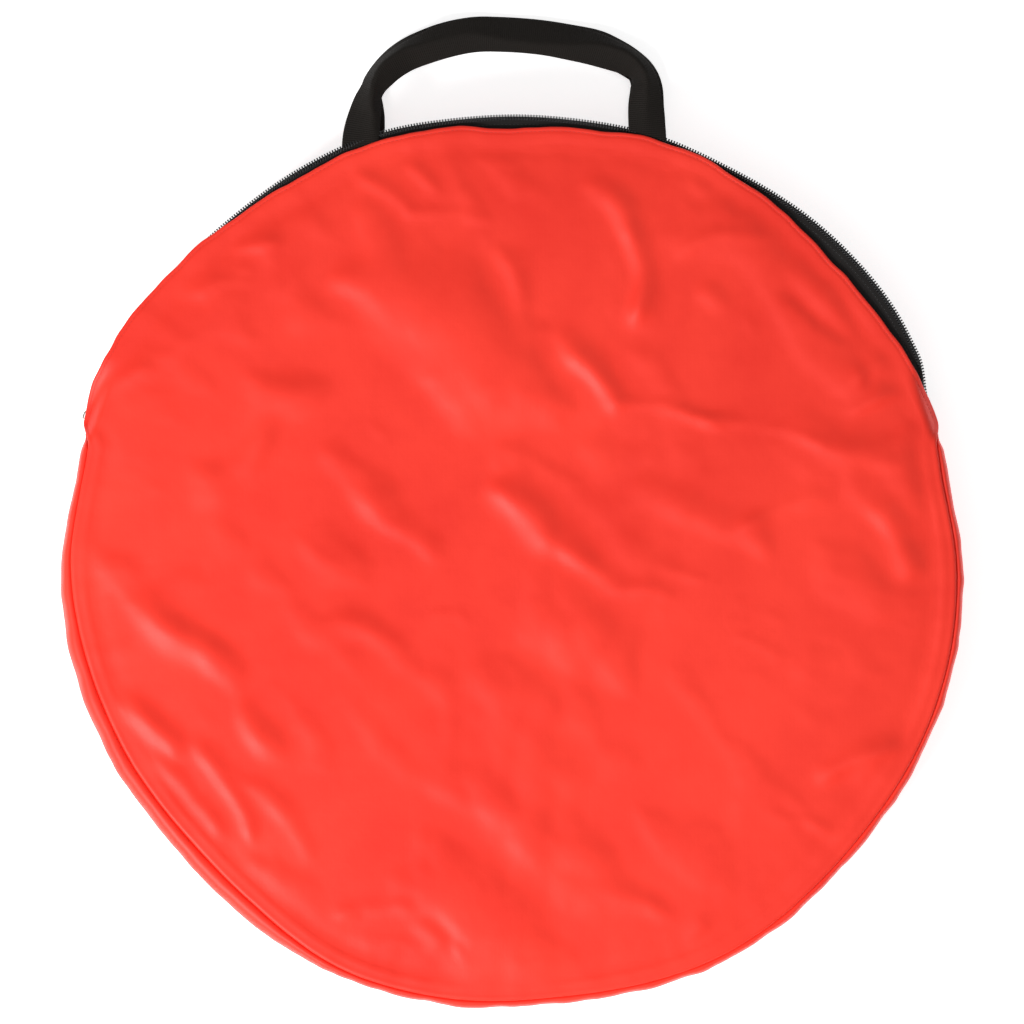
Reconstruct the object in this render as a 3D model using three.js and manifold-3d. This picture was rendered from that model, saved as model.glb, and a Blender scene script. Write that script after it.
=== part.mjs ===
// A dog agility tunnel, packed flat in its round zipped carry bag. Millimetres, +Z up.
//
// The bag lies on its back panel, with its carry handles towards +Y. The origin is the middle of
// the back panel's outer face. The zip is open, with its slider at the -X end, so there is a mouth
// between the front and back zip tapes, round the arc on the +Y side.

import * as THREE from 'three';
import { mergeVertices } from 'three/addons/utils/BufferGeometryUtils.js';
import Module from 'manifold-3d';

const wasm = await Module();
wasm.setup();

const GAP = 0.3; // between pieces that touch

// Bag
const BAG_R = 301; // at the gusset's widest
const PANEL_R = 292; // sewn edge of the front and back panels
const RIM_HEIGHT = 53; // front panel's outer face, at its edge
const DOME = 2; // how far the pack lifts the middle of the front panel above its edge
const DOME_R = 262;
const DOME_FOOT_R = 284;
const CLOTH = 1;
const MID_HEIGHT = RIM_HEIGHT / 2;
const BINDING_IN_R = PANEL_R - 6; // inner edge of the tape that binds each seam

// Zip: angles are measured from +X, and the zip is the same at its +X and -X ends.
const ZIP_END = 16.5;
const MOUTH_END = 21; // from here the tapes are apart
const TAB_END = 19; // the cloth tabs that close the zip's ends reach to here
const TAB_HALF_HEIGHT = 19;
const TAB = 1.2;
const SLIDER_ANGLE = 18.7; // the slider's place at either end of its travel
const TAPE_IN_R = 284;
const TAPE_OUT_R = 297;
const TAPE = 0.7;
const TEETH_OUT_R = 300.5;
const TEETH = 1.2;

// Webbing handles
const WEBBING = 1.3;
const WEBBING_WIDTH = 25;
const HANDLE_X = { left: -101, right: 90 }; // middle of each foot
const HANDLE_HINGE_Y = 282.5; // where the webbing leaves the bag
const HANDLE_TOP_Y = 361;
const FOOT_Y = 246; // inner end of the sewn foot

// The layers of the bag's edge, each measured from the nearer outer face
const WEBBING_DEPTH = CLOTH + GAP;
const TAPE_DEPTH = WEBBING_DEPTH + WEBBING + GAP;

// Packed tunnel
const STRAP = 0.9;
const STRAP_WIDTH = 25;
const PACK_DEPTH = TAPE_DEPTH + TEETH + 0.4; // the pack clears the teeth as it slides out
const PACK_LOW = PACK_DEPTH;
const PACK_HIGH = RIM_HEIGHT - PACK_DEPTH;
const CONTENT_LOW = PACK_LOW + STRAP + GAP;
const CONTENT_HIGH = PACK_HIGH - STRAP - GAP;
const HEM_OUT_R = 270.4;
const HEM_IN_R = 262;
const HEM = 0.7;
const HEM_HEIGHT = 6;
const HOOP_R = 267.3;
const HOOP_WIRE_R = 1.3;
const HELIX_R = 267.5;
const HELIX_WIRE_R = 1;
const HELIX_TURNS = 11;
const BELLOWS_OUT_R = 260.8;
const PLEAT_TIP_R = 160;
const PLEAT_ROOT_R = 173;
const PLEATS = 12;
const RING_SIDES = 48;
const BAND_STEPS = 36;
const PANEL_SIDES = 96;
const STRAP_ANGLES = [45, 135, 225, 315];
const PATCH = 1.4;
const PATCH_HALF_WIDTH = 11.5;
const PATCH_HALF_HEIGHT = 14;
const FERRULE_LENGTH = 8;

const MATERIALS = {
  red_cloth: new THREE.MeshStandardMaterial({ color: 0xe8352b, roughness: 0.55, metalness: 0 }),
  tunnel_cloth: new THREE.MeshStandardMaterial({ color: 0xc92f27, roughness: 0.6, metalness: 0 }),
  webbing: new THREE.MeshStandardMaterial({ color: 0x1b1917, roughness: 0.8, metalness: 0 }),
  zip_tape: new THREE.MeshStandardMaterial({ color: 0x1d1b1d, roughness: 0.85, metalness: 0 }),
  zip_teeth: new THREE.MeshStandardMaterial({ color: 0x141414, roughness: 0.35, metalness: 0 }),
  nickel: new THREE.MeshStandardMaterial({ color: 0xc9c6bd, roughness: 0.25, metalness: 1 }),
  spring_steel: new THREE.MeshStandardMaterial({ color: 0x8d9196, roughness: 0.35, metalness: 1 }),
};

const rad = THREE.MathUtils.degToRad;

class Arc extends THREE.Curve {
  constructor(radius, fromDeg, toDeg) {
    super();
    Object.assign(this, { radius, from: rad(fromDeg), to: rad(toDeg) });
  }

  getPoint(t, target = new THREE.Vector3()) {
    const a = this.from + t * (this.to - this.from);
    return target.set(this.radius * Math.cos(a), this.radius * Math.sin(a), 0);
  }
}

// The middle line of a handle: half a superellipse that stands on the two feet, run anticlockwise.
class Arch extends THREE.Curve {
  getPoint(t, target = new THREE.Vector3()) {
    const a = t * Math.PI;
    const halfSpan = (HANDLE_X.right - HANDLE_X.left) / 2;
    const rise = HANDLE_TOP_Y - WEBBING_WIDTH / 2 - HANDLE_HINGE_Y;
    const power = 2 / 2.4;
    const c = Math.cos(a);
    return target.set(
      (HANDLE_X.right + HANDLE_X.left) / 2 + halfSpan * Math.sign(c) * Math.abs(c) ** power,
      HANDLE_HINGE_Y + rise * Math.sin(a) ** power,
      0,
    );
  }
}

class Helix extends THREE.Curve {
  constructor(radius, low, high, turns) {
    super();
    Object.assign(this, { radius, low, high, turns, arcLengthDivisions: 36 * turns });
  }

  getPoint(t, target = new THREE.Vector3()) {
    const a = t * this.turns * 2 * Math.PI;
    const z = this.low + t * (this.high - this.low);
    return target.set(this.radius * Math.cos(a), this.radius * Math.sin(a), z);
  }
}

// Sweeps a section along an anticlockwise path in the XY plane. The section's points are
// [how far outside the path, height].
function sweep(path, section, steps) {
  const shape = new THREE.Shape(section.map(([out, z]) => new THREE.Vector2(-z, -out)));
  return new THREE.ExtrudeGeometry(shape, { extrudePath: path, steps });
}

// A band round part of a circle, from its section's [radius, height] points.
function band(section, fromDeg, toDeg, steps) {
  const shifted = section.map(([r, z]) => [r - PANEL_R, z]);
  return sweep(new Arc(PANEL_R, fromDeg, toDeg), shifted, steps);
}

// A solid of revolution about Z, from its [radius, height] points, run anticlockwise.
function turned(points, sides = RING_SIDES) {
  const profile = points.map(([r, z]) => new THREE.Vector2(r, z));
  return new THREE.LatheGeometry(profile, sides).rotateX(Math.PI / 2);
}

function ring(section, sides = RING_SIDES) {
  return turned([...section, section[0]], sides);
}

function toVectors(points) {
  return points.map(([x, y]) => new THREE.Vector2(x, y));
}

function rectangle(x0, x1, z0, z1) {
  return [[x0, z0], [x1, z0], [x1, z1], [x0, z1]];
}

function block(x0, x1, y0, y1, z0, z1) {
  const box = new THREE.BoxGeometry(x1 - x0, y1 - y0, z1 - z0);
  return box.translate((x0 + x1) / 2, (y0 + y1) / 2, (z0 + z1) / 2);
}

function toSolid(geometry) {
  const bare = geometry.clone();
  bare.deleteAttribute('normal');
  bare.deleteAttribute('uv');
  const merged = mergeVertices(bare, 1e-4);
  const mesh = { numProp: 3 };
  mesh.vertProperties = new Float32Array(merged.attributes.position.array);
  mesh.triVerts = new Uint32Array(merged.index.array);
  return new wasm.Manifold(new wasm.Mesh(mesh));
}

function fromSolid(solid) {
  const { vertProperties, triVerts } = solid.getMesh();
  const geometry = new THREE.BufferGeometry();
  geometry.setAttribute('position', new THREE.BufferAttribute(vertProperties, 3));
  geometry.setIndex(new THREE.BufferAttribute(triVerts, 1));
  return geometry;
}

// Height measured from the back face, or from the front panel's edge for a front piece.
function fromFace(front, near, far) {
  return front ? [RIM_HEIGHT - far, RIM_HEIGHT - near] : [near, far];
}

const tunnel = new THREE.Group();

function add(name, geometry, material, parent = tunnel) {
  const mesh = new THREE.Mesh(geometry, MATERIALS[material]);
  mesh.name = name;
  parent.add(mesh);
  return mesh;
}

// ---- bag panels, gusset and seam bindings

const FOLD_Y = PANEL_R * Math.sin(rad(ZIP_END)); // the front panel folds between the zip's ends

function frontPanels() {
  const under = RIM_HEIGHT - CLOTH;
  const dome = toSolid(turned([
    [0, under + DOME], [DOME_R, under + DOME], [DOME_FOOT_R, under], [PANEL_R, under],
    [PANEL_R, RIM_HEIGHT], [DOME_FOOT_R, RIM_HEIGHT],
    [DOME_R, RIM_HEIGHT + DOME], [0, RIM_HEIGHT + DOME],
  ], PANEL_SIDES));
  const far = 2 * BAG_R;
  const aboveFold = toSolid(block(-far, far, FOLD_Y - GAP / 2, far, 0, far));
  const belowFold = toSolid(block(-far, far, -far, FOLD_Y + GAP / 2, 0, far));
  add('front_panel', fromSolid(dome.subtract(aboveFold)), 'red_cloth');
  add('front_flap', fromSolid(dome.subtract(belowFold)), 'red_cloth');
}

function backPanel() {
  const disc = turned([[0, 0], [PANEL_R, 0], [PANEL_R, CLOTH], [0, CLOTH]], PANEL_SIDES);
  add('back_panel', disc, 'red_cloth');
}

function gusset() {
  const halfHeight = MID_HEIGHT - CLOTH - GAP;
  const levels = 6;
  const outer = [];
  for (let i = 0; i <= levels; i += 1) {
    const s = (2 * i) / levels - 1; // -1 at the back seam, 1 at the front seam
    outer.push([PANEL_R + (BAG_R - PANEL_R) * (1 - Math.abs(s) ** 3), MID_HEIGHT + s * halfHeight]);
  }
  const inner = outer.map(([r, z]) => [r - CLOTH, z]).reverse();
  add('gusset', band([...outer, ...inner], 180 - ZIP_END, 360 + ZIP_END, 48), 'red_cloth');
}

function bindings() {
  for (const front of [false, true]) {
    const [low, high] = fromFace(front, CLOTH + GAP, CLOTH + GAP + CLOTH);
    const strip = rectangle(BINDING_IN_R, PANEL_R - CLOTH - GAP, low, high);
    const name = front ? 'front_seam_binding' : 'back_seam_binding';
    add(name, band(strip, 180 - ZIP_END, 360 + ZIP_END, BAND_STEPS), 'webbing');
  }
}

// ---- zip

function zip() {
  for (const front of [false, true]) {
    const side = front ? 'front' : 'back';
    const tape = rectangle(TAPE_IN_R, TAPE_OUT_R, ...fromFace(front, TAPE_DEPTH, TAPE_DEPTH + TAPE));
    const teethHeights = fromFace(front, TAPE_DEPTH, TAPE_DEPTH + TEETH);
    const teeth = rectangle(TAPE_OUT_R + GAP, TEETH_OUT_R, ...teethHeights);
    add(`${side}_zip_tape`, band(tape, MOUTH_END, 180 - MOUTH_END, BAND_STEPS), 'zip_tape');
    add(`${side}_zip_teeth`, band(teeth, MOUTH_END, 180 - MOUTH_END, BAND_STEPS), 'zip_teeth');
  }
  // The closed ends, where both tapes are sewn together to the end of the gusset
  const low = MID_HEIGHT - TAB_HALF_HEIGHT;
  const tab = rectangle(PANEL_R - GAP - TAB, PANEL_R - GAP, low, low + 2 * TAB_HALF_HEIGHT);
  const tabStart = ZIP_END + 0.3;
  add('right_zip_end', band(tab, tabStart, TAB_END, 3), 'zip_tape');
  add('left_zip_end', band(tab, 180 - TAB_END, 180 - tabStart, 3), 'zip_tape');
}

// The slider's own axes: x along its travel, z out of the bag.
const SLIDER_IN_R = PANEL_R + 2;
const PLATE = 1.1;
const SLIDER_THICK = 5;
const CROWN_HEIGHT = 4.2;
const CROWN_HALF_LENGTH = 4.1;
const CROWN_BAR = 1.2;
const CROWN_HALF_WIDTH = 0.8;
const PULL_AXIS_OUT = SLIDER_THICK + 1.5; // the pull tab's bar, under the crown
const PULL_LENGTH = 23;
const PULL_THICK = 1.2;

function plateOutline() {
  const shape = new THREE.Shape();
  shape.moveTo(-5.5, -3);
  shape.lineTo(1, -4.3);
  shape.quadraticCurveTo(5.5, -4.3, 5.5, 0);
  shape.quadraticCurveTo(5.5, 4.3, 1, 4.3);
  shape.lineTo(-5.5, 3);
  shape.closePath();
  return shape;
}

function pullOutline() {
  const bar = CROWN_BAR / 2;
  const windowEnd = 5.6; // the crown passes through this window at every angle of the tab
  const shape = new THREE.Shape();
  shape.moveTo(-bar, -3.6);
  shape.lineTo(windowEnd, -3.6);
  shape.quadraticCurveTo(10, -2.2, PULL_LENGTH - 4, -3.4);
  shape.quadraticCurveTo(PULL_LENGTH, -3.4, PULL_LENGTH, 0);
  shape.quadraticCurveTo(PULL_LENGTH, 3.4, PULL_LENGTH - 4, 3.4);
  shape.quadraticCurveTo(10, 2.2, windowEnd, 3.6);
  shape.lineTo(-bar, 3.6);
  shape.closePath();
  const hole = new THREE.Path();
  hole.moveTo(bar, -2);
  hole.lineTo(bar, 2);
  hole.lineTo(windowEnd, 2);
  hole.lineTo(windowEnd, -2);
  hole.closePath();
  shape.holes.push(hole);
  return shape;
}

function plate(outline, depth, z) {
  const settings = { depth, bevelEnabled: false, curveSegments: 5 };
  return new THREE.ExtrudeGeometry(outline, settings).translate(0, 0, z);
}

function slider() {
  const insidePlate = SLIDER_THICK - PLATE / 2;
  const crownTop = SLIDER_THICK + CROWN_HEIGHT;
  const legStart = CROWN_HALF_LENGTH - CROWN_BAR;
  const crownPart = (x0, x1, z0) => block(x0, x1, -CROWN_HALF_WIDTH, CROWN_HALF_WIDTH, z0, crownTop);
  const pieces = [
    plate(plateOutline(), PLATE, 0),
    plate(plateOutline(), PLATE, SLIDER_THICK - PLATE),
    block(1.2, 4, -1.1, 1.1, PLATE / 2, insidePlate), // post between the plates
    crownPart(-CROWN_HALF_LENGTH, -legStart, insidePlate),
    crownPart(legStart, CROWN_HALF_LENGTH, insidePlate),
    crownPart(-CROWN_HALF_LENGTH, CROWN_HALF_LENGTH, crownTop - CROWN_BAR),
  ];
  const whole = pieces.map(toSolid).reduce((a, b) => a.add(b));
  const pull = plate(pullOutline(), PULL_THICK, PULL_AXIS_OUT - PULL_THICK / 2);

  const place = new THREE.Group();
  const angle = rad(180 - SLIDER_ANGLE);
  const out = new THREE.Vector3(Math.cos(angle), Math.sin(angle), 0);
  const along = new THREE.Vector3(out.y, -out.x, 0); // clockwise, the way it closes the zip
  place.applyMatrix4(new THREE.Matrix4().makeBasis(along, new THREE.Vector3(0, 0, -1), out));
  place.position.copy(out.multiplyScalar(SLIDER_IN_R)).setZ(MID_HEIGHT);
  add('zip_slider', fromSolid(whole), 'nickel', place);
  add('pull_tab', pull, 'nickel', place);
  tunnel.add(place);
}

// ---- handles

function handles() {
  for (const front of [false, true]) {
    const side = front ? 'front' : 'back';
    const foot = fromFace(front, WEBBING_DEPTH, WEBBING_DEPTH + WEBBING);
    const loop = front ? foot : [0, WEBBING]; // the back handle lies down level with the back panel
    const ribbon = rectangle(-WEBBING_WIDTH / 2, WEBBING_WIDTH / 2, ...loop);
    add(`${side}_handle`, sweep(new Arch(), ribbon, 28), 'webbing');
    for (const [end, x] of Object.entries(HANDLE_X)) {
      const half = WEBBING_WIDTH / 2;
      const sewn = block(x - half, x + half, FOOT_Y, HANDLE_HINGE_Y - GAP, ...foot);
      add(`${side}_handle_foot_${end}`, sewn, 'webbing');
    }
  }
}

// ---- packed tunnel

function bellows() {
  const low = CONTENT_LOW + 0.2;
  const step = (CONTENT_HIGH - CONTENT_LOW - 0.4) / PLEATS;
  const profile = [[BELLOWS_OUT_R, low], [BELLOWS_OUT_R, low + PLEATS * step]];
  for (let i = PLEATS; i > 0; i -= 1) {
    profile.push([PLEAT_ROOT_R, low + i * step], [PLEAT_TIP_R, low + (i - 0.5) * step]);
  }
  profile.push([PLEAT_ROOT_R, low]);
  add('tunnel_fabric', ring(profile, 40), 'tunnel_cloth');
}

function helixWire() {
  const clear = HEM_HEIGHT + HELIX_WIRE_R + GAP;
  const section = toVectors([[1, 0], [0, 1], [-1, 0], [0, -1]]).map((p) => p.multiplyScalar(HELIX_WIRE_R));
  const path = new Helix(HELIX_R, CONTENT_LOW + clear, CONTENT_HIGH - clear, HELIX_TURNS);
  const steps = 24 * HELIX_TURNS;
  const wire = new THREE.ExtrudeGeometry(new THREE.Shape(section), { extrudePath: path, steps });
  add('helix_wire', wire, 'spring_steel');
}

// An end of the tunnel: a wire hoop with its ends crimped in a ferrule, inside a C-shaped hem.
function tunnelEnd(name, z) {
  const half = HEM_HEIGHT / 2;
  const wire = [];
  for (let i = 0; i < 4; i += 1) {
    const a = rad(90 * i);
    wire.push([HOOP_R + HOOP_WIRE_R * Math.cos(a), z + HOOP_WIRE_R * Math.sin(a)]);
  }
  add(`${name}_hoop`, ring(wire), 'spring_steel');
  add(`${name}_hem`, ring([
    [HEM_IN_R, z - half], [HEM_OUT_R, z - half], [HEM_OUT_R, z + half], [HEM_IN_R, z + half],
    [HEM_IN_R, z + half - HEM], [HEM_OUT_R - HEM, z + half - HEM],
    [HEM_OUT_R - HEM, z - half + HEM], [HEM_IN_R, z - half + HEM],
  ]), 'webbing');
  const tube = new THREE.Shape().absarc(0, 0, HOOP_WIRE_R + 0.75, 0, 2 * Math.PI);
  tube.holes.push(new THREE.Path().absarc(0, 0, HOOP_WIRE_R + 0.35, 0, 2 * Math.PI, true));
  const settings = { depth: FERRULE_LENGTH, bevelEnabled: false, curveSegments: 8 };
  const ferrule = new THREE.ExtrudeGeometry(tube, settings);
  ferrule.translate(0, 0, -FERRULE_LENGTH / 2).rotateX(Math.PI / 2);
  add(`${name}_hoop_ferrule`, ferrule, 'spring_steel').position.set(HOOP_R, 0, z);
}

// A strap round the pack's section, closed by a hook and loop patch on its inner side.
function closingStrap(number, angleDeg) {
  const outR = HEM_OUT_R + GAP + STRAP;
  const inR = PLEAT_TIP_R - 2.4;
  const loop = new THREE.Shape(toVectors(rectangle(inR, outR, PACK_LOW, PACK_HIGH)));
  const inside = rectangle(inR + STRAP, outR - STRAP, PACK_LOW + STRAP, PACK_HIGH - STRAP);
  loop.holes.push(new THREE.Path(toVectors(inside).reverse()));
  const strap = new THREE.ExtrudeGeometry(loop, { depth: STRAP_WIDTH, bevelEnabled: false });
  strap.rotateX(Math.PI / 2).translate(0, STRAP_WIDTH / 2, 0);
  const patch = block(
    inR - GAP - PATCH, inR - GAP, -PATCH_HALF_WIDTH, PATCH_HALF_WIDTH,
    MID_HEIGHT - PATCH_HALF_HEIGHT, MID_HEIGHT + PATCH_HALF_HEIGHT,
  );
  const place = new THREE.Group();
  place.rotation.z = rad(angleDeg);
  add(`closing_strap_${number}`, strap, 'webbing', place);
  add(`strap_patch_${number}`, patch, 'webbing', place);
  tunnel.add(place);
}

// A flat webbing loop at an end of the tunnel, folded in over the pleats.
function pegLoop(number, angleDeg, z0) {
  const loop = new THREE.Shape(toVectors(rectangle(222, 264, -7.5, 7.5)));
  loop.holes.push(new THREE.Path(toVectors(rectangle(225, 258, -2, 2)).reverse()));
  const geometry = new THREE.ExtrudeGeometry(loop, { depth: STRAP, bevelEnabled: false });
  const mesh = add(`peg_loop_${number}`, geometry, 'webbing');
  mesh.position.z = z0;
  mesh.rotation.z = rad(angleDeg);
}

frontPanels();
backPanel();
gusset();
bindings();
zip();
slider();
handles();
bellows();
helixWire();
tunnelEnd('lower_end', CONTENT_LOW + HEM_HEIGHT / 2);
tunnelEnd('upper_end', CONTENT_HIGH - HEM_HEIGHT / 2);
STRAP_ANGLES.forEach((angle, i) => closingStrap(i + 1, angle));
pegLoop(1, 90, PACK_HIGH - STRAP);
pegLoop(2, 270, PACK_HIGH - STRAP);
pegLoop(3, 0, PACK_LOW);
pegLoop(4, 180, PACK_LOW);

export default tunnel;
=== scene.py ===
"""The looks of an agility tunnel in its red carry bag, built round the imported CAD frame. Metres, +Z up."""

import math

import bmesh
import bpy
import numpy as np
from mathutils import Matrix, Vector, noise


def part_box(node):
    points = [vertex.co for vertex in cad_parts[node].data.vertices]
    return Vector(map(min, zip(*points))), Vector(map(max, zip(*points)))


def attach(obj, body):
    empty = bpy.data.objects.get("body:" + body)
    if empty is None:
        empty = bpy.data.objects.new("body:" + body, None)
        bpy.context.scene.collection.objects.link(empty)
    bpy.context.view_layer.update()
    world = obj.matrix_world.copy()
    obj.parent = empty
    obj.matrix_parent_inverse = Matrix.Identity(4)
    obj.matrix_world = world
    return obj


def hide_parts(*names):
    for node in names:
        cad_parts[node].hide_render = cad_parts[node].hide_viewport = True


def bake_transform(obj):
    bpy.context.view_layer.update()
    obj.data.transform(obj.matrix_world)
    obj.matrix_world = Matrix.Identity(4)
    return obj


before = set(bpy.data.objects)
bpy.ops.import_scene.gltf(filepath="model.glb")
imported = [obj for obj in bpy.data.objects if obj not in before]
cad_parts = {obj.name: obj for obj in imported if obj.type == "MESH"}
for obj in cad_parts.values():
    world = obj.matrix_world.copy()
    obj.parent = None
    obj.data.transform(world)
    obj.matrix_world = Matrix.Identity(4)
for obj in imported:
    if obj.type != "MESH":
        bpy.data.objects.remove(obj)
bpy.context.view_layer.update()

MM = 0.001
UP = np.array([0, 0, 1.0])


def middle_z(node):
    """Height of the middle of a CAD node."""
    low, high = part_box(node)
    return (low.z + high.z) / 2


# ---------------------------------------------------------------- sizes taken from the frame

PANEL_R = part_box("back_panel")[1].x
TOP_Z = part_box("front_flap")[1].z  # the front panel's middle, where the pack lifts it
RIM_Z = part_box("front_handle")[1].z + 1.3 * MM  # the front panel's edge
MID_Z = middle_z("gusset")
BAG_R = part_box("gusset")[1].x
ZIP_END = math.degrees(math.asin(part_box("gusset")[1].y / BAG_R))
FRONT_COIL_Z = middle_z("front_zip_teeth")
BACK_COIL_Z = middle_z("back_zip_teeth")

# Outline of the bag, seen from the front: (degrees from +X, cloth's edge, outer edge of the zip's coil), in
# mm out from the round of the CAD panel. Below the zip's ends only the first counts. The angles are where the
# outline bends, chosen by hand; the distances were fitted to the silhouette of the bag in the photograph, as
# measured by a script.
EDGE = (
    (0, 8.2, 0), (10, 4.0, 0), (17, 6.0, 0), (22, 5.2, 9.0), (30, 2.6, 12.4), (40, -1.0, 12.5),
    (50, 1.1, 10.2), (60, 3.1, 7.3), (72, 3.7, 7.1), (82, -1.8, 4.9), (91, -4.0, 4.5), (98, -1.2, 5.0),
    (110, 1.1, 6.8), (121, -0.9, 5.0), (130, 2.1, 3.5), (140, 5.9, 4.2), (151, 9.8, 6.0), (158.5, 11.2, 6.5),
    (162, 8.2, 4.5), (166, 4.8, 0), (171, 4.6, 0), (180, 9.1, 0), (190, 10.1, 0), (204, 7.9, 0),
    (222, 3.8, 0), (240, 8.0, 0), (262, 8.0, 0), (275, 5.5, 0), (299, 11.0, 0), (320, 8.6, 0), (340, 11.0, 0),
)
TAPES_MEET = ZIP_END + 2.9  # degrees from the bag's sides: the two tapes meet below this
MOUTH_WIDE = ZIP_END + 10.5  # and the mouth is fully open above this
CLOSING_DIP = 10.5 * MM  # how far the cloth's edge dips where the zip closes


def periodic(knots, column):
    """A smooth closed curve through the knots, as a function of the angle in degrees."""
    angles = np.array([k[0] for k in knots], float)
    values = np.array([k[column] for k in knots], float)
    a = np.concatenate([angles[-2:] - 360, angles, angles[:3] + 360])
    v = np.concatenate([values[-2:], values, values[:3]])
    slope = np.gradient(v, a)

    def at(deg):
        x = np.mod(np.asarray(deg, float), 360)
        i = np.clip(np.searchsorted(a, x, side="right") - 1, 0, len(a) - 2)
        h = a[i + 1] - a[i]
        t = (x - a[i]) / h
        return (
            (2 * t**3 - 3 * t**2 + 1) * v[i]
            + (t**3 - 2 * t**2 + t) * h * slope[i]
            + (3 * t**2 - 2 * t**3) * v[i + 1]
            + (t**3 - t**2) * h * slope[i + 1]
        )

    return at


edge_out = periodic(EDGE, 1)
coil_out = periodic(EDGE, 2)


def smooth(x, low, high):
    """0 below low and 1 above high, with a soft step between them."""
    t = np.clip((np.asarray(x, float) - low) / (high - low), 0, 1)
    return t * t * (3 - 2 * t)


def zip_part(deg):
    """1 along the open zip, 0 round the gusset."""
    d = np.mod(deg, 360)
    return smooth(d, ZIP_END - 1.5, ZIP_END + 1.5) * (1 - smooth(d, 180 - ZIP_END - 1.5, 180 - ZIP_END + 1.5))


def mouth_open(deg):
    """0 at the zip's ends, where the two tapes meet, and 1 where the mouth is fully open."""
    d = np.mod(deg, 360)
    d = np.where(d > 180, -90, d)
    return smooth(d, TAPES_MEET, MOUTH_WIDE) * (1 - smooth(d, 180 - MOUTH_WIDE, 180 - TAPES_MEET))


# ---------------------------------------------------------------- meshes

def mesh_object(name, points, faces, uvs=None):
    data = bpy.data.meshes.new(name)
    data.from_pydata([tuple(p) for p in points], [], [tuple(f) for f in faces])
    if uvs is not None:
        layer = data.uv_layers.new(name="UVMap")
        loops = np.zeros(len(data.loops), np.int32)
        data.loops.foreach_get("vertex_index", loops)
        layer.data.foreach_set("uv", np.asarray(uvs, np.float32)[loops].ravel())
    data.polygons.foreach_set("use_smooth", np.ones(len(data.polygons), bool))
    data.update()
    obj = bpy.data.objects.new(name, data)
    bpy.context.scene.collection.objects.link(obj)
    return obj


def grid_faces(rows, columns, close_rows=False, close_columns=False):
    """Quads over points held row by row."""
    r = np.arange(rows if close_rows else rows - 1)
    c = np.arange(columns if close_columns else columns - 1)
    rr, cc = np.meshgrid(r, c, indexing="ij")
    r2, c2 = (rr + 1) % rows, (cc + 1) % columns
    quads = np.stack([rr * columns + cc, rr * columns + c2, r2 * columns + c2, r2 * columns + cc], -1)
    return quads.reshape(-1, 4)


def tube_faces(rings, around, closed=False):
    """Quads along a swept solid, with a face over each end unless it closes on itself."""
    faces = grid_faces(rings, around, close_rows=closed, close_columns=True).tolist()
    if not closed:
        last = (rings - 1) * around
        faces += [list(range(around)), [last + i for i in reversed(range(around))]]
    return faces


def disc_faces(rings, columns):
    """Quads between rings that widen from the middle, and a fan round the hub, which comes last."""
    hub = rings * columns
    fan = [((k + 1) % columns, k, hub) for k in range(columns)]
    return grid_faces(rings, columns, close_columns=True).tolist() + fan


def outward(obj):
    """Turns every face out."""
    bm = bmesh.new()
    bm.from_mesh(obj.data)
    bmesh.ops.recalc_face_normals(bm, faces=bm.faces)
    bm.to_mesh(obj.data)
    bm.free()
    obj.data.update()
    return obj


def finish_piece(obj, material, body=None, nodes=()):
    obj.data.materials.clear()
    obj.data.materials.append(material)
    if body:
        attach(obj, body)
    if nodes:
        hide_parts(*nodes)
    return obj


def sheet_thickness(obj, thickness, offset=-1):
    m = obj.modifiers.new("Solidify", "SOLIDIFY")
    m.thickness = thickness
    m.offset = offset
    m.use_rim = True
    return obj


def distance_along(path):
    """The distance from a path's start at each of its points."""
    return np.concatenate([[0], np.cumsum(np.linalg.norm(np.diff(path, axis=0), axis=1))])


def resample(at, places, values):
    """The columns of values, which are known at the places, read off at other places."""
    return np.stack([np.interp(at, places, values[:, k]) for k in range(values.shape[1])], -1)


def spokes(a):
    """Directions away from the bag's middle, at angles in radians."""
    return np.stack([np.cos(a), np.sin(a), 0 * a], -1)


def round_section(count):
    return np.array([(math.cos(t), math.sin(t)) for t in np.arange(count) * 2 * math.pi / count])


def sweep(name, centres, acrosses, ups, section, closed=False, width=None):
    """A closed solid: the section's (across, up) points, carried along the centres, each with its own axes.
    Its UV map holds metres across and along; width is the distance across where the section is bent."""
    centres, acrosses, ups = (np.asarray(v, float) for v in (centres, acrosses, ups))
    section = np.asarray(section, float)
    if section.ndim == 2:
        section = np.repeat(section[None], len(centres), 0)
    n, k = section.shape[:2]
    pts = centres[:, None] + acrosses[:, None] * section[..., :1] + ups[:, None] * section[..., 1:]
    uvs = np.zeros((n, k, 2))
    uvs[..., 0] = section[..., 0] if width is None else width
    uvs[..., 1] = distance_along(centres)[:, None]
    return outward(mesh_object(name, pts.reshape(-1, 3), tube_faces(n, k, closed), uvs.reshape(-1, 2)))


def strap_section(width, thick, edge_points=3, flat_points=4):
    """A flat strap's section with rounded edges, as (across, up) points."""
    r = thick / 2
    pts = []
    for side in (1, -1):
        for i in range(2 * edge_points + 1):
            a = math.pi * (i / (2 * edge_points) - 0.5)
            pts.append((side * (width / 2 - r + r * math.cos(a)), side * r * math.sin(a)))
        for i in range(1, flat_points):
            x = (width / 2 - r) * (1 - 2 * i / flat_points)
            pts.append((side * x, side * r))
    return np.array(pts)


def unit(v):
    v = np.asarray(v, float)
    return v / np.maximum(np.linalg.norm(v, axis=-1, keepdims=True), 1e-12)


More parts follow.
